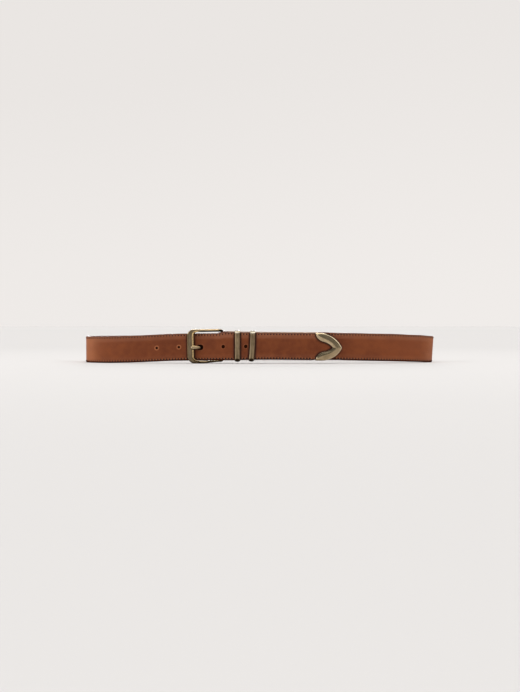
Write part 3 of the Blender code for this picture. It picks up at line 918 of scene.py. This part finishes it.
def bendMesh(mesh, points):
    # out is towards the viewer, so the bend mirrors the mesh and its faces are turned back
    writePoints(mesh, points)
    mesh.flip_normals()


def writeAttribute(mesh, name, values, kind="FLOAT"):
    layer = mesh.attributes.new(name, kind, "POINT")
    key = "vector" if kind == "FLOAT_VECTOR" else "value"
    layer.data.foreach_set(key, np.ascontiguousarray(values, dtype=np.float32).ravel())


def linkPiece(name, mesh, material, sharp=40.0):
    mesh.shade_smooth()
    mesh.set_sharp_from_angle(angle=math.radians(sharp))
    mesh.materials.clear()
    mesh.materials.append(material)
    piece = bpy.data.objects.new(name, mesh)
    scene.collection.objects.link(piece)
    return piece


def ready(piece, slot, *nodes):
    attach(piece, "root")
    if nodes:
        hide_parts(*nodes)
    print(piece.name, len(piece.data.polygons), "faces")


def applied(piece):
    # the piece's mesh with its modifiers baked in
    bpy.context.view_layer.update()
    shown = piece.evaluated_get(bpy.context.evaluated_depsgraph_get())
    return bpy.data.meshes.new_from_object(shown)


def roundCorners(section, radius, steps=3):
    # each corner of a closed section becomes a small curve
    section = np.asarray(section, dtype=float)
    ahead = np.roll(section, -1, axis=0) - section
    behind = np.roll(section, 1, axis=0) - section
    aheadSize = np.linalg.norm(ahead, axis=1)
    behindSize = np.linalg.norm(behind, axis=1)
    first = section + behind * (np.minimum(radius, behindSize * 0.45) / np.maximum(behindSize, 1e-9))[:, None]
    last = section + ahead * (np.minimum(radius, aheadSize * 0.45) / np.maximum(aheadSize, 1e-9))[:, None]
    points = []
    for k in range(steps + 1):
        t = k / steps
        points.append((1 - t) ** 2 * first + 2 * t * (1 - t) * section + t**2 * last)
    return np.stack(points, axis=1).reshape(-1, section.shape[1])


def skinSections(name, sections, closed=False):
    # a grid wrapped through sections of equal count; its map runs along and round the sweep
    sections = np.asarray(sections, dtype=float)
    stations, count = sections.shape[:2]
    wide = stations if closed else stations - 1
    middles = sections.mean(axis=1)
    if closed:
        middles = np.concatenate((middles, middles[:1]))
    alongRun = np.concatenate(([0.0], np.cumsum(np.linalg.norm(np.diff(middles, axis=0), axis=1))))
    rounds = np.linalg.norm(np.roll(sections, -1, axis=1) - sections, axis=2).mean(axis=0)
    aroundRun = np.concatenate(([0.0], np.cumsum(rounds)))
    bm = bmesh.new()
    grain = bm.loops.layers.uv.new("grain")
    bmesh.ops.create_grid(bm, x_segments=wide, y_segments=count, size=0.5)
    spots = {}
    for vert in bm.verts:
        i = round((vert.co.x + 0.5) * wide)
        j = round((vert.co.y + 0.5) * count)
        spots[vert] = (i, j)
        vert.co = sections[i % stations, j % count]
    for face in bm.faces:
        for corner in face.loops:
            i, j = spots[corner.vert]
            corner[grain].uv = (alongRun[i], aroundRun[j])
    bmesh.ops.remove_doubles(bm, verts=bm.verts, dist=1e-7)
    if not closed:
        bmesh.ops.holes_fill(bm, edges=[e for e in bm.edges if e.is_boundary], sides=0)
    bmesh.ops.recalc_face_normals(bm, faces=bm.faces)
    return meshFrom(bm, name)


def markRidges(mesh, size, rounds=2):
    # "ridge" is 0.5 on flat metal, more on outward edges and less in hollows
    points = meshPoints(mesh)
    normals = np.array([v.normal[:] for v in mesh.vertices])
    pairs = np.empty(len(mesh.edges) * 2, dtype=np.int64)
    mesh.edges.foreach_get("vertices", pairs)
    a, b = pairs.reshape(-1, 2).T
    gap = points[b] - points[a]
    square = np.maximum((gap**2).sum(axis=1), 1e-12)
    curve = (gap * (normals[b] - normals[a])).sum(axis=1) / square
    most = np.zeros(len(points))
    least = np.zeros(len(points))
    for end in (a, b):
        np.maximum.at(most, end, curve)
        np.minimum.at(least, end, curve)
    value = np.where(-least > most, least, most)
    ridge = 0.5 + 0.5 * np.tanh(value * size)
    degree = np.bincount(a, minlength=len(points)) + np.bincount(b, minlength=len(points))
    for _ in range(rounds):
        total = np.bincount(a, ridge[b], len(points)) + np.bincount(b, ridge[a], len(points))
        ridge = 0.5 * ridge + 0.5 * total / degree
    writeAttribute(mesh, "ridge", ridge)
    writeAttribute(mesh, "facingUp", normals[:, 2])


def boxOutline(low, high, half, radii, steps):
    # points round a box with its own corner radius at either end
    lowRadius, highRadius = radii
    lowSteps, cornerSteps, sideSteps, highSteps = steps
    points = []

    def straight(start, end, count):
        for i in range(count):
            points.append([start[k] + (end[k] - start[k]) * i / count for k in (0, 1)])

    def corner(centre, radius, first):
        for i in range(cornerSteps):
            angle = math.radians(first - 90 * i / cornerSteps)
            points.append((centre[0] + radius * math.cos(angle), centre[1] + radius * math.sin(angle)))

    straight((low, lowRadius - half), (low, half - lowRadius), lowSteps)
    corner((low + lowRadius, half - lowRadius), lowRadius, 180)
    straight((low + lowRadius, half), (high - highRadius, half), sideSteps)
    corner((high - highRadius, half - highRadius), highRadius, 90)
    straight((high, half - highRadius), (high, highRadius - half), highSteps)
    corner((high - highRadius, highRadius - half), highRadius, 0)
    straight((high - highRadius, -half), (low + lowRadius, -half), sideSteps)
    corner((low + lowRadius, lowRadius - half), lowRadius, 270)
    return np.array(points)


# Strap: made straight and punched, then bent round the loop
def strapSection():
    # half of a face from the middle to the edge, with the stitched channel pressed in
    half = strapShape["width"] / 2
    thick = strapShape["thick"] / 2
    radius = strapShape["edgeRound"]
    middle, reach, depth = strapShape["crease"]
    dips = ((-2, 0), (-1, 0.7), (0, 1), (1, 0.7), (2, 0))
    channel = [(middle + reach * k / 2, thick - depth * dip) for k, dip in dips]
    face = [(z, thick) for z in np.linspace(0.0, middle - 2 * reach, 12)] + channel
    for k in range(5):
        angle = math.radians(90 - 18 * k)
        face.append((half - radius + radius * math.cos(angle), thick - radius + radius * math.sin(angle)))
    face.append((half, 0.0))
    plain = [face[0], face[5]] + face[11:]          # the face that turns in needs fewer
    upperOuter = face
    upperInner = [(z, -out) for z, out in reversed(plain[:-1])]
    lowerInner = [(-z, -out) for z, out in plain[1:]]
    lowerOuter = [(-z, out) for z, out in reversed(face[1:-1])]
    return np.array(upperOuter + upperInner + lowerInner + lowerOuter)


def holeCutter(name, start, end, width, up):
    # a punch through the leather, round or drawn out to an oval
    bm = bmesh.new()
    bmesh.ops.create_cone(bm, cap_ends=True, segments=40, radius1=width / 2, radius2=width / 2, depth=0.012)
    spare = (end - start - width) / 2
    for vert in bm.verts:
        x, y, z = vert.co
        shift = spare if x > 0 else -spare
        vert.co = ((start + end) / 2 + x + shift, z, up + y)
    bmesh.ops.recalc_face_normals(bm, faces=bm.faces)
    return meshFrom(bm, name)


def slotCutter(name, start, end, half, up):
    bm = bmesh.new()
    bmesh.ops.create_cube(bm, size=1.0)
    bmesh.ops.scale(bm, verts=bm.verts, vec=(end - start, 0.012, 2 * half))
    upright = [e for e in bm.edges if abs(e.verts[0].co.y - e.verts[1].co.y) > 0.01]
    settings = {"offset_type": "OFFSET", "segments": 5, "profile": 0.5, "affect": "EDGES", "material": -1}
    bmesh.ops.bevel(bm, geom=upright, offset=0.0012, **settings)
    bmesh.ops.translate(bm, verts=bm.verts, vec=((start + end) / 2, 0.0, up))
    return meshFrom(bm, name)


def strapCutters():
    cutters = []
    for i in range(holes["count"]):
        along = holes["first"] + i * holes["pitch"]
        if i == holes["used"]:
            ends = (runAt(s) for s in holes["usedAlong"])
            cutters.append(holeCutter("usedHole", *ends, holes["usedWidth"], usedHoleUp()))
        else:
            centre = runAt(along)
            radius = holes["radius"] - holes["smaller"] * (i < holes["used"])
            cutters.append(holeCutter("hole" + str(i), centre - radius, centre + radius, 2 * radius, 0.0))
    fold = pathRows[:, 0] < 0.1
    turn = int(np.argmin(np.where(fold, pathRows[:, 0], 1.0)))
    start = float(np.interp(-hinge["slot"][1], -pathRows[:turn, 0], pathRun[:turn]))
    end = runOfInner(hinge["slot"][1])
    up = tongueShape["up"] - float(innerLift(hinge["along"])) - strapShape["width"] / 2
    cutters.append(slotCutter("foldSlot", start, end, hinge["slotHalf"], up))
    return cutters


def closeTo(targets, points, near, far):
    # 1 where a point lies against the targets, 0 a little way off
    tree = KDTree(len(targets))
    for i, point in enumerate(targets):
        tree.insert(point, i)
    tree.balance()
    away = np.array([tree.find(point)[2] for point in points])
    return 1.0 - smoothStep(away, near, far)


def makeStrap():
    section = strapSection()
    closeUp = runAt(strapShape["denseFrom"])
    runs = np.arange(0.0, closeUp, strapShape["step"])
    runs = np.concatenate((runs, np.linspace(closeUp, pathRun[-1], 250)))
    sections = [[(run, out, across) for across, out in section] for run in runs]
    piece = bpy.data.objects.new("straight", skinSections("straight", sections))
    scene.collection.objects.link(piece)
    spare = [piece]
    for mesh in strapCutters():
        cutter = bpy.data.objects.new(mesh.name, mesh)
        scene.collection.objects.link(cutter)
        spare.append(cutter)
        punch = piece.modifiers.new(mesh.name, "BOOLEAN")
        punch.operation = "DIFFERENCE"
        punch.solver = "EXACT"
        punch.object = cutter
    mesh = applied(piece)
    for old in spare:
        bpy.data.objects.remove(old, do_unlink=True)
    mesh.name = "strap"
    flat = meshPoints(mesh)
    writeAttribute(mesh, "leather", flat, "FLOAT_VECTOR")
    along = wrapAlong(np.interp(flat[:, 0], pathRun, pathRows[:, 0]))
    bend = np.interp(along, loop["along"], loop["bend"])
    x = np.interp(along, loop["along"], loop["x"])
    share = 1.0 - strapShape["dimmerRightEnd"] * smoothStep(x, 0.0, 0.1)
    # the bends are painted paler: pull-up leather lightens where stretched, plus painted light on the lit
    # ends
    writeAttribute(mesh, "bend", smoothStep(bend, 9.0, 30.0) * share)
    # painted light: the front is paler towards either side
    writeAttribute(mesh, "paintedSideLight", np.interp(x, *np.array(strapShape["paintedSideLight"]).T))
    bendMesh(mesh, layStrap(flat))
    # painted shadow beside the metal
    metal = np.concatenate([meshPoints(o.data) for o in scene.objects if o.name.endswith("_brass")])
    writeAttribute(mesh, "metalShadow", closeTo(metal, meshPoints(mesh), *strapShape["metalShadowReach"]))
    piece = linkPiece("strap_leather", mesh, leather, 50.0)
    ready(piece, "leather", "strap")


# Stitches: one saddle stitch, repeated in rows along the straight strap, then bent with it
def stitchRow(name, count, start, across, side):
    shape = stitchShape
    bm = bmesh.new()
    bmesh.ops.create_uvsphere(bm, u_segments=6, v_segments=5, radius=0.5)
    bmesh.ops.rotate(bm, verts=bm.verts, matrix=Matrix.Rotation(math.radians(90), 3, "Y"))
    bmesh.ops.scale(bm, verts=bm.verts, vec=(shape["length"], shape["thick"], shape["thick"]))
    for vert in bm.verts:
        dive = (vert.co.x / (shape["length"] / 2)) ** 4
        vert.co.y -= shape["thick"] * shape["dive"] * dive
        vert.co.z += shape["slant"] * vert.co.x
    level = strapShape["thick"] / 2 - strapShape["crease"][2] + shape["thick"] / 2 - shape["sink"]
    bmesh.ops.translate(bm, verts=bm.verts, vec=(0.0, level, 0.0))
    if side < 0:
        bmesh.ops.scale(bm, verts=bm.verts, vec=(1.0, -1.0, 1.0))
        bmesh.ops.reverse_faces(bm, faces=bm.faces)
    bmesh.ops.translate(bm, verts=bm.verts, vec=(start, 0.0, across))
    row = bpy.data.objects.new(name, meshFrom(bm, name))
    scene.collection.objects.link(row)
    repeat = row.modifiers.new("repeat", "ARRAY")
    repeat.count = count
    repeat.use_relative_offset = False
    repeat.use_constant_offset = True
    repeat.constant_offset_displace = (shape["pitch"], 0.0, 0.0)
    made = applied(row)
    bpy.data.objects.remove(row, do_unlink=True)
    return made


def makeStitches():
    shape = stitchShape
    last = runAt(shape["lastAt"])
    first = shape["pitch"] * 2
    count = int((last - first) / shape["pitch"])
    for label, side in (("outer", 1), ("inner", -1)):
        bm = bmesh.new()
        for across in (shape["fromMiddle"], -shape["fromMiddle"]):
            # half a pitch on: the leather's own pattern dips under each stitch
            bm.from_mesh(stitchRow("row", count, first + shape["pitch"] * 0.5, across, side))
        mesh = meshFrom(bm, "stitches")
        flat = meshPoints(mesh)
        writeAttribute(mesh, "leather", flat, "FLOAT_VECTOR")
        bendMesh(mesh, layStrap(flat))
        # painted light: the thread is paler on the lit ends
        x = np.abs(meshPoints(mesh)[:, 0] - shape["litEndsMiddle"])
        writeAttribute(mesh, "paintedSideLight", shape["litEndsShare"] * smoothStep(x, *shape["litEndsFrom"]))
        ready(linkPiece("stitches_" + label, mesh, thread, 180.0), "leather")


# Buckle frame: one closed sweep, a flat brushed bar with a raised inner rim, round arms and hinge bar
buckleShape = {
    "along": (-0.0804, -0.0400),
    "halfHeight": 0.0189,
    "window": (-0.0727, -0.0434),
    "windowHalf": 0.0158,
    "lowArmRaise": 0.0001,
    "centre": (-0.0600, 0.01908),
    "turn": math.radians(0.8),
    "outerCorners": (0.0075, 0.0040),
    "innerCorners": (0.0040, 0.0006),
    "barOut": 0.00365,
    "slope": (-0.0670, -0.0434),
    "barFade": (-0.0721, -0.0630),      # where the bar's section turns into the round arm
    "shadedArmEnd": (-0.0464, -0.0446),    # painted shade: the top arm is dark where it turns in behind the strap
    "cornerCut": 0.0007,                # the lower left corner
    "cornerAlong": (0.0735, 0.0790),
    "cornerDown": (0.008, 0.016),
    # painted shade along the bar's outer edge
    "edgeShade": (-0.0801, -0.0786, 0.55),
    "wallShade": (0.0, 0.0003),       # painted shade on the window's wall: how far from the window
    # the rim worn bright and painted with a highlight: how far from the window
    "rimWearAndHighlight": (0.0018, 0.0023),
    "rimEnds": (-0.0705, -0.0680),
    "lowerArmShade": (-0.0540, 0.0065, 0.0020, 0.5),   # painted shade on the lower arm: middle, reach, full within, share
    "taper": (-0.0640, -0.0440, 0.0013),    # the lower arm gets thinner towards the hinge
    "taperDown": (0.010, 0.018),
    "steps": (56, 14, 30, 16),
    "soften": 0.00034,
    "section": (
        (0.00, -0.0009),
        (0.06, -0.00155),
        (0.50, -0.00155),
        (0.94, -0.00155),
        (1.00, -0.0009),
        (1.00, 0.0008),
        (0.95, 0.00135),
        (0.88, 0.00155),
        (0.81, 0.00125),
        (0.74, 0.0004),
        (0.40, 0.0002),
        (0.09, -0.0001),
    ),
}


def makeBuckle():
    shape = buckleShape
    outer = boxOutline(*shape["along"], shape["halfHeight"], shape["outerCorners"], shape["steps"])
    inner = boxOutline(*shape["window"], shape["windowHalf"], shape["innerCorners"], shape["steps"])
    count = len(shape["section"])
    across, height = np.array(shape["section"]).T
    number = np.arange(count)
    angle = math.pi - 2 * math.pi * (1 - (number + 0.5) / count) + math.pi / count
    roundAcross = 0.5 + 0.5 * np.cos(angle)
    roundHeight = hinge["barRadius"] * np.sin(angle)
    sections = []
    taperStart, taperEnd, taperRise = shape["taper"]
    for (outerS, outerZ), (innerS, innerZ) in zip(outer, inner):
        bar = 1.0 - smoothStep((outerS + innerS) / 2, *shape["barFade"])
        corner = smoothStep(-outerS, *shape["cornerAlong"]) * smoothStep(-outerZ, *shape["cornerDown"])
        outerZ += shape["cornerCut"] * float(corner)
        thinner = smoothStep(outerS, taperStart, taperEnd) * smoothStep(-outerZ, *shape["taperDown"])
        outerZ += taperRise * float(thinner)
        f = roundAcross + (across - roundAcross) * bar
        h = roundHeight + (height - roundHeight) * bar
        s = outerS + (innerS - outerS) * f
        lowArm = shape["lowArmRaise"] * smoothStep(-innerZ, 0.010, 0.016)
        z = outerZ + (innerZ + lowArm - outerZ) * f
        section = roundCorners(np.stack((s, h, z), axis=-1), shape["soften"] + 0.0006 * (1 - bar))
        s, h, z = section.T
        turnedS = s - shape["centre"][0]
        along = shape["centre"][0] + turnedS * math.cos(shape["turn"]) - z * math.sin(shape["turn"])
        up = shape["centre"][1] + turnedS * math.sin(shape["turn"]) + z * math.cos(shape["turn"])
        level = shape["barOut"] + (hinge["out"] - shape["barOut"]) * smoothStep(s, *shape["slope"])
        sections.append(np.stack((along, level + h, up), axis=-1))
    # the sweep starts and ends behind the leather, on the hinge bar
    start = shape["steps"][0] + 2 * shape["steps"][1] + shape["steps"][2] + shape["steps"][3] // 2
    mesh = skinSections("buckle", np.roll(sections, -start, axis=0), closed=True)
    flat = meshPoints(mesh)
    bendMesh(mesh, beltPoints(*flat.T))
    markRidges(mesh, 0.0009)
    turnedS, z = flat[:, 0] - shape["centre"][0], flat[:, 2] - shape["centre"][1]
    cosine, sine = math.cos(shape["turn"]), math.sin(shape["turn"])
    s, z = shape["centre"][0] + turnedS * cosine + z * sine, z * cosine - turnedS * sine
    edgeStart, edgeEnd, much = shape["edgeShade"]
    tarnishAndShade = smoothStep(s, *shape["shadedArmEnd"]) * (z > 0) + much * (1.0 - smoothStep(s, edgeStart, edgeEnd))
    plan = np.stack((s, 0 * s, z), axis=-1)
    window = [(innerS, 0.0, innerZ) for innerS, innerZ in inner]
    onBar = 1.0 - smoothStep(s, *shape["rimEnds"])
    wall = closeTo(window, plan, *shape["wallShade"]) * onBar
    middle, reach, full, share = shape["lowerArmShade"]
    near = 1.0 - smoothStep(np.abs(s - middle), full, reach)
    writeAttribute(mesh, "paintedShade", share * near * (z < 0))
    writeAttribute(mesh, "rim", closeTo(window, plan, *shape["rimWearAndHighlight"]) * onBar * (1.0 - wall))
    # painted contact shadow round the tongue's nose
    contact = closeTo(meshPoints(bpy.data.meshes["tongue"]), meshPoints(mesh), 0.0003, 0.0013)
    writeAttribute(mesh, "tarnishAndShade", np.maximum(np.maximum(tarnishAndShade, wall), contact * (s < -0.070)))
    ready(linkPiece("buckle_brass", mesh, brass["buckle"]), "antique_brass", "buckle_frame")


# Tongue: wrapped round the hinge bar, up through the used hole, its round nose on the bar's rim
tongueShape = {
    "ringThick": 0.0016,
    "ringWidth": 0.0050,
    "ringStart": math.radians(165),
    "gap": 0.0003,
    "up": 0.0188,
    "droop": 0.0011,                    # how much lower the nose lies than the hinge end
    "nose": (-0.0758, 0.0026),          # end, and run over which it rounds off
    "section": (
        (1.00, 0.30),
        (0.74, 1.00),
        (-0.74, 1.00),
        (-1.00, 0.30),
        (-1.00, -0.45),
        (-0.72, -1.00),
        (0.72, -1.00),
        (1.00, -0.45),
    ),
    "rows": (
        (-0.0460, -0.00110, 0.0018, 0.0047),
        (-0.0500, -0.00120, 0.0021, 0.0044),
        (-0.0560, -0.00170, 0.0022, 0.0042),
        (-0.0614, -0.00210, 0.0022, 0.0040),
        (-0.0625, -0.00205, 0.0022, 0.0036),
        (-0.0636, -0.00155, 0.0022, 0.0034),
        (-0.0680, 0.00280, 0.0022, 0.0036),
        (-0.0703, 0.00500, 0.0022, 0.0042),
        (-0.0714, 0.00590, 0.0023, 0.0046),
        (-0.0727, 0.00645, 0.0025, 0.0048),
        (-0.0745, 0.00680, 0.0026, 0.0048),
        (-0.0752, 0.00680, 0.0025, 0.0048),
        (-0.0758, 0.00675, 0.0024, 0.0047),
    ),
}


def makeTongue():
    shape = tongueShape
    radius = hinge["barRadius"] + shape["gap"] + shape["ringThick"] / 2
    angle = np.linspace(shape["ringStart"], 2.5 * math.pi, 60)
    s = hinge["along"] + radius * np.cos(angle)
    out = hinge["out"] + radius * np.sin(angle)
    ring = np.stack((s, out, 0 * s + shape["ringThick"], 0 * s + shape["ringWidth"]), axis=-1)
    arm = smoothRows((tuple(ring[-1]),) + shape["rows"], 130)[1:]
    rows = np.concatenate((ring, arm))
    heading = np.gradient(rows[:, :2], axis=0)
    heading /= np.linalg.norm(heading, axis=1)[:, None]
    end, span = shape["nose"]
    sections = []
    for i, ((s, out, thick, width), (ds, dn)) in enumerate(zip(rows, heading)):
        left = 1.0 if i < len(ring) + 20 else min(max((s - end) / span, 0.0), 1.0)
        shrink = max(math.sqrt(1.0 - (1.0 - left) ** 2), 0.06)
        across, deep = np.array(shape["section"]).T
        depth = deep * thick / 2 * (0.25 + 0.75 * shrink)
        droop = shape["droop"] * float(smoothStep(-s, 0.050, 0.070))
        up = shape["up"] - droop + across * width / 2 * shrink
        section = np.stack((s - dn * depth, out + ds * depth, up), axis=-1)
        sections.append(roundCorners(section, 0.0006))
    mesh = skinSections("tongue", sections)
    bendMesh(mesh, beltPoints(*meshPoints(mesh).T))
    markRidges(mesh, 0.0008)
    ready(linkPiece("tongue_brass", mesh, brass["tongue"]), "antique_brass", "tongue")


# Keepers: half-round outside, flat inside, each round both layers of the strap
keeperShape = {
    # node, place, lean, bow, and how much darker its upper half is painted
    "places": (("keeper_1", -0.0248, 0.0, 0.0, 0.0), ("keeper_2", -0.0088, math.radians(-2.9), 0.0004, 0.26)),
    "width": 0.0058,
    "halfHeight": 0.0173,
    "openingHalf": 0.0160,
    "out": (-0.0053, 0.0072),
    "openingOut": (-0.0041, 0.0051),
    "outerCorners": (0.0014, 0.0044),
    "topDrop": 0.0006,          # the top wall is the thinner one
    "innerCorners": (0.0003, 0.0004),
    "steps": (8, 16, 8, 36),
    "section": (
        (-0.50, 0.00),
        (0.50, 0.00),
        (0.50, 0.25),
        (0.38, 0.72),
        (0.20, 0.94),
        (0.00, 1.00),
        (-0.20, 0.94),
        (-0.38, 0.72),
        (-0.50, 0.25),
    ),
}


def makeKeepers():
    shape = keeperShape
    for node, place, lean, bow, tarnishAndShade in shape["places"]:
        outer = boxOutline(*shape["out"], shape["halfHeight"], shape["outerCorners"], shape["steps"])
        inner = boxOutline(*shape["openingOut"], shape["openingHalf"], shape["innerCorners"], shape["steps"])
        centre = float(strapLift(place)) + strapShape["width"] / 2 + loopShape["innerRaise"] / 2
        rise = float(topRise(beltPoints(place, 0.0, 0.0)))
        sections = []
        for (outerN, outerZ), (innerN, innerZ) in zip(outer, inner):
            outerZ += (rise - shape["topDrop"]) * float(smoothStep(outerZ, 0.010, 0.0165))
            innerZ += rise * float(smoothStep(innerZ, 0.010, 0.0155))
            thick = math.hypot(outerN - innerN, outerZ - innerZ)
            flat = [(across * shape["width"], depth * thick) for across, depth in shape["section"]]
            across, depth = roundCorners(flat, 0.0007, 4).T
            out = innerN + (outerN - innerN) * depth / thick
            z = innerZ + (outerZ - innerZ) * depth / thick
            s = across + bow * (1.0 - (z / shape["halfHeight"]) ** 2)
            along = place + s * math.cos(lean) - z * math.sin(lean)
            up = centre + s * math.sin(lean) + z * math.cos(lean)
            sections.append(np.stack((along, out, up), axis=-1))
        start = shape["steps"][0] // 2          # starts behind the strap
        mesh = skinSections(node, np.roll(sections, -start, axis=0), closed=True)
        flat = meshPoints(mesh)
        bendMesh(mesh, beltPoints(*flat.T))
        markRidges(mesh, 0.0007)
        z = flat[:, 2] - centre
        upper = smoothStep(z, -0.004, 0.003) * (1.0 - smoothStep(z, 0.0105, 0.0130))
        writeAttribute(mesh, "tarnishAndShade", tarnishAndShade * upper)
        ready(linkPiece(node + "_brass", mesh, brass["keeper"]), "antique_brass", node)


# Tip: a channel with a back lip, and a V-shaped front with a ridge along each prong
def makeTip():
    shape = tipShape
    back = strapShape["thick"] / 2 + shape["gap"]
    floor = back + shape["backThick"]
    roof = strapShape["tipLayer"] + strapShape["thick"] / 2 + shape["gap"]
    count = shape["steps"]
    outer = tipOutline(0.0, count)
    channel = tipOutline(shape["wall"], count)
    lip = tipOutline(shape["lip"], count)
    inner = smoothRows(shape["innerRows"], count)
    ridge = inner + (outer - inner) * shape["ridgePlace"]
    beadWide, beadDrop = shape["bead"]
    bead = tipOutline(beadWide, count)
    rise = np.linalg.norm(outer - outer[0], axis=1) / shape["ridgeGrowth"]
    grown = smoothStep(rise, -0.35, 1.0)
    ridgeTop = roof + shape["edgeThick"] + (shape["ridgeThick"] - shape["edgeThick"]) * grown
    half = []
    for i in range(count):
        points = [
            (*inner[i], roof),
            (*inner[i], roof + shape["edgeThick"]),
            (*ridge[i], ridgeTop[i]),
            (*bead[i], roof + shape["rimThick"]),
            (*outer[i], roof + shape["rimThick"] - beadDrop),
            (*outer[i], back),
            (*lip[i], back),
            (*lip[i], floor),
            (*channel[i], floor),
            (*channel[i], roof),
        ]
        half.append(roundCorners(points, 0.00022))
    sections = []
    for section, side in [(s, 1) for s in half] + [(s, -1) for s in half[-2::-1]]:
        s, z, out = section.T
        sections.append(np.stack((s, out, tipCentre(s) + side * z), axis=-1))
    mesh = skinSections("tip", sections)
    flat = meshPoints(mesh)
    bendMesh(mesh, beltPoints(*flat.T))
    markRidges(mesh, 0.0006, 1)
    # how far inside the outline each point is, so that the rim can be worn bright with a painted highlight
    low = tipRadius() - shape["halfHeight"]
    s, out, up = flat.T
    reach = np.hypot(np.maximum(s - shape["arcStart"], 0.0), np.abs(up - tipCentre(s)) + low)
    rim = (1.0 - smoothStep(tipRadius() - reach, 0.0004, 0.0010)) * smoothStep(out, roof - 0.0004, roof)
    writeAttribute(mesh, "rim", rim)
    innerS, innerZ = inner.T
    level = np.full(len(inner), roof + shape["edgeThick"])
    innerEdge = np.stack((innerS, level, tipCentre(innerS) - innerZ), axis=-1)
    # painted shade on the lower prong's inner band
    lower = closeTo(innerEdge, flat, 0.0004, 0.0021) * (up < tipCentre(s))
    writeAttribute(mesh, "tarnishAndShade", 0.6 * lower)
    ready(linkPiece("tip_brass", mesh, brass["tip"], 60.0), "antique_brass", "tip")


makeTongue()
makeBuckle()
makeKeepers()
makeTip()
print("brass pieces made")
makeStrap()
makeStitches()
print("strap laid")


# Plain pale studio: a wide floor under an even sky, and soft light from above and the sides
studio = {
    "pale": rgb(240, 236, 233),
    "paleHigh": rgb(234, 230, 227),
    "floor": (0.690, 0.671, 0.657, 1.0),
    "farShade": 0.915,           # painted light falloff: how much darker the floor is painted away from the belt
    "fill": 0.26,
    # name, azimuth from the front towards the right, elevation, strength, width of the source
    "lamps": (
        ("top", -10.0, 80.0, 2.1, 60.0),
        ("behind", 180.0, 11.0, 2.2, 24.0),
        ("left", -72.0, 20.0, 0.9, 36.0),
        ("right", 72.0, 36.0, 0.85, 40.0),
    ),
}


def addFloor():
    bm = bmesh.new()
    bmesh.ops.create_circle(bm, cap_ends=True, segments=96, radius=60.0)
    mesh = meshFrom(bm, "floor")
    material, tree, shader = newMaterial("floor_paper")
    place = addNode(tree, "ShaderNodeTexCoord").outputs["Object"]
    paper = noise(tree, place, 3.0, 3.0, 0.5)
    away = addNode(tree, "ShaderNodeVectorMath", {0: place}, operation="LENGTH").outputs["Value"]
    # painted light falloff: the floor is painted darker away from the belt, with the paper's own mottling
    paintedShade = [c * studio["farShade"] for c in studio["floor"][:3]] + [1.0]
    far = plus(tree, fade(tree, away, 0.15, 1.1, 0.0, 0.85), times(tree, paper, 0.15))
    feed(tree, shader["Base Color"], mixColours(tree, far, studio["floor"], paintedShade))
    shader["Roughness"].default_value = 0.9
    shader["Specular IOR Level"].default_value = 0.0
    mesh.materials.append(material)
    floor = bpy.data.objects.new("floor", mesh)
    scene.collection.objects.link(floor)


def addSky():
    world = bpy.data.worlds.new("studio")
    world.use_nodes = True
    tree = world.node_tree
    background = tree.nodes["Background"]
    place = addNode(tree, "ShaderNodeTexCoord").outputs["Generated"]
    across, _, rise = addNode(tree, "ShaderNodeSeparateXYZ", {0: place}).outputs
    # the backdrop the camera sees is painted a little darker higher up and to one side, a painted falloff of
    # light
    shade = plus(tree, fade(tree, rise, 0.0, 0.28, 0.0, 1.0), fade(tree, across, 0.2, -0.2, 0.0, 0.25))
    tone = mixColours(tree, shade, studio["pale"], studio["paleHigh"])
    seen = addNode(tree, "ShaderNodeBackground", {"Color": tone, "Strength": 1.0})
    background.inputs["Color"].default_value = (1.0, 0.985, 0.97, 1.0)
    background.inputs["Strength"].default_value = studio["fill"]
    ray = addNode(tree, "ShaderNodeLightPath").outputs["Is Camera Ray"]
    mix = addNode(tree, "ShaderNodeMixShader")
    tree.links.new(ray, mix.inputs[0])
    tree.links.new(background.outputs[0], mix.inputs[1])
    tree.links.new(seen.outputs[0], mix.inputs[2])
    tree.links.new(mix.outputs[0], tree.nodes["World Output"].inputs["Surface"])
    scene.world = world


def addLamps():
    for name, azimuth, elevation, strength, width in studio["lamps"]:
        data = bpy.data.lights.new(name, "SUN")
        data.energy = strength
        data.angle = math.radians(width)
        lamp = bpy.data.objects.new(name, data)
        lamp.rotation_euler = (math.radians(90.0 - elevation), 0.0, math.radians(azimuth))
        scene.collection.objects.link(lamp)


addFloor()
addSky()
addLamps()
scene.view_settings.view_transform = "Standard"
print("studio set")

bpy.context.view_layer.update()
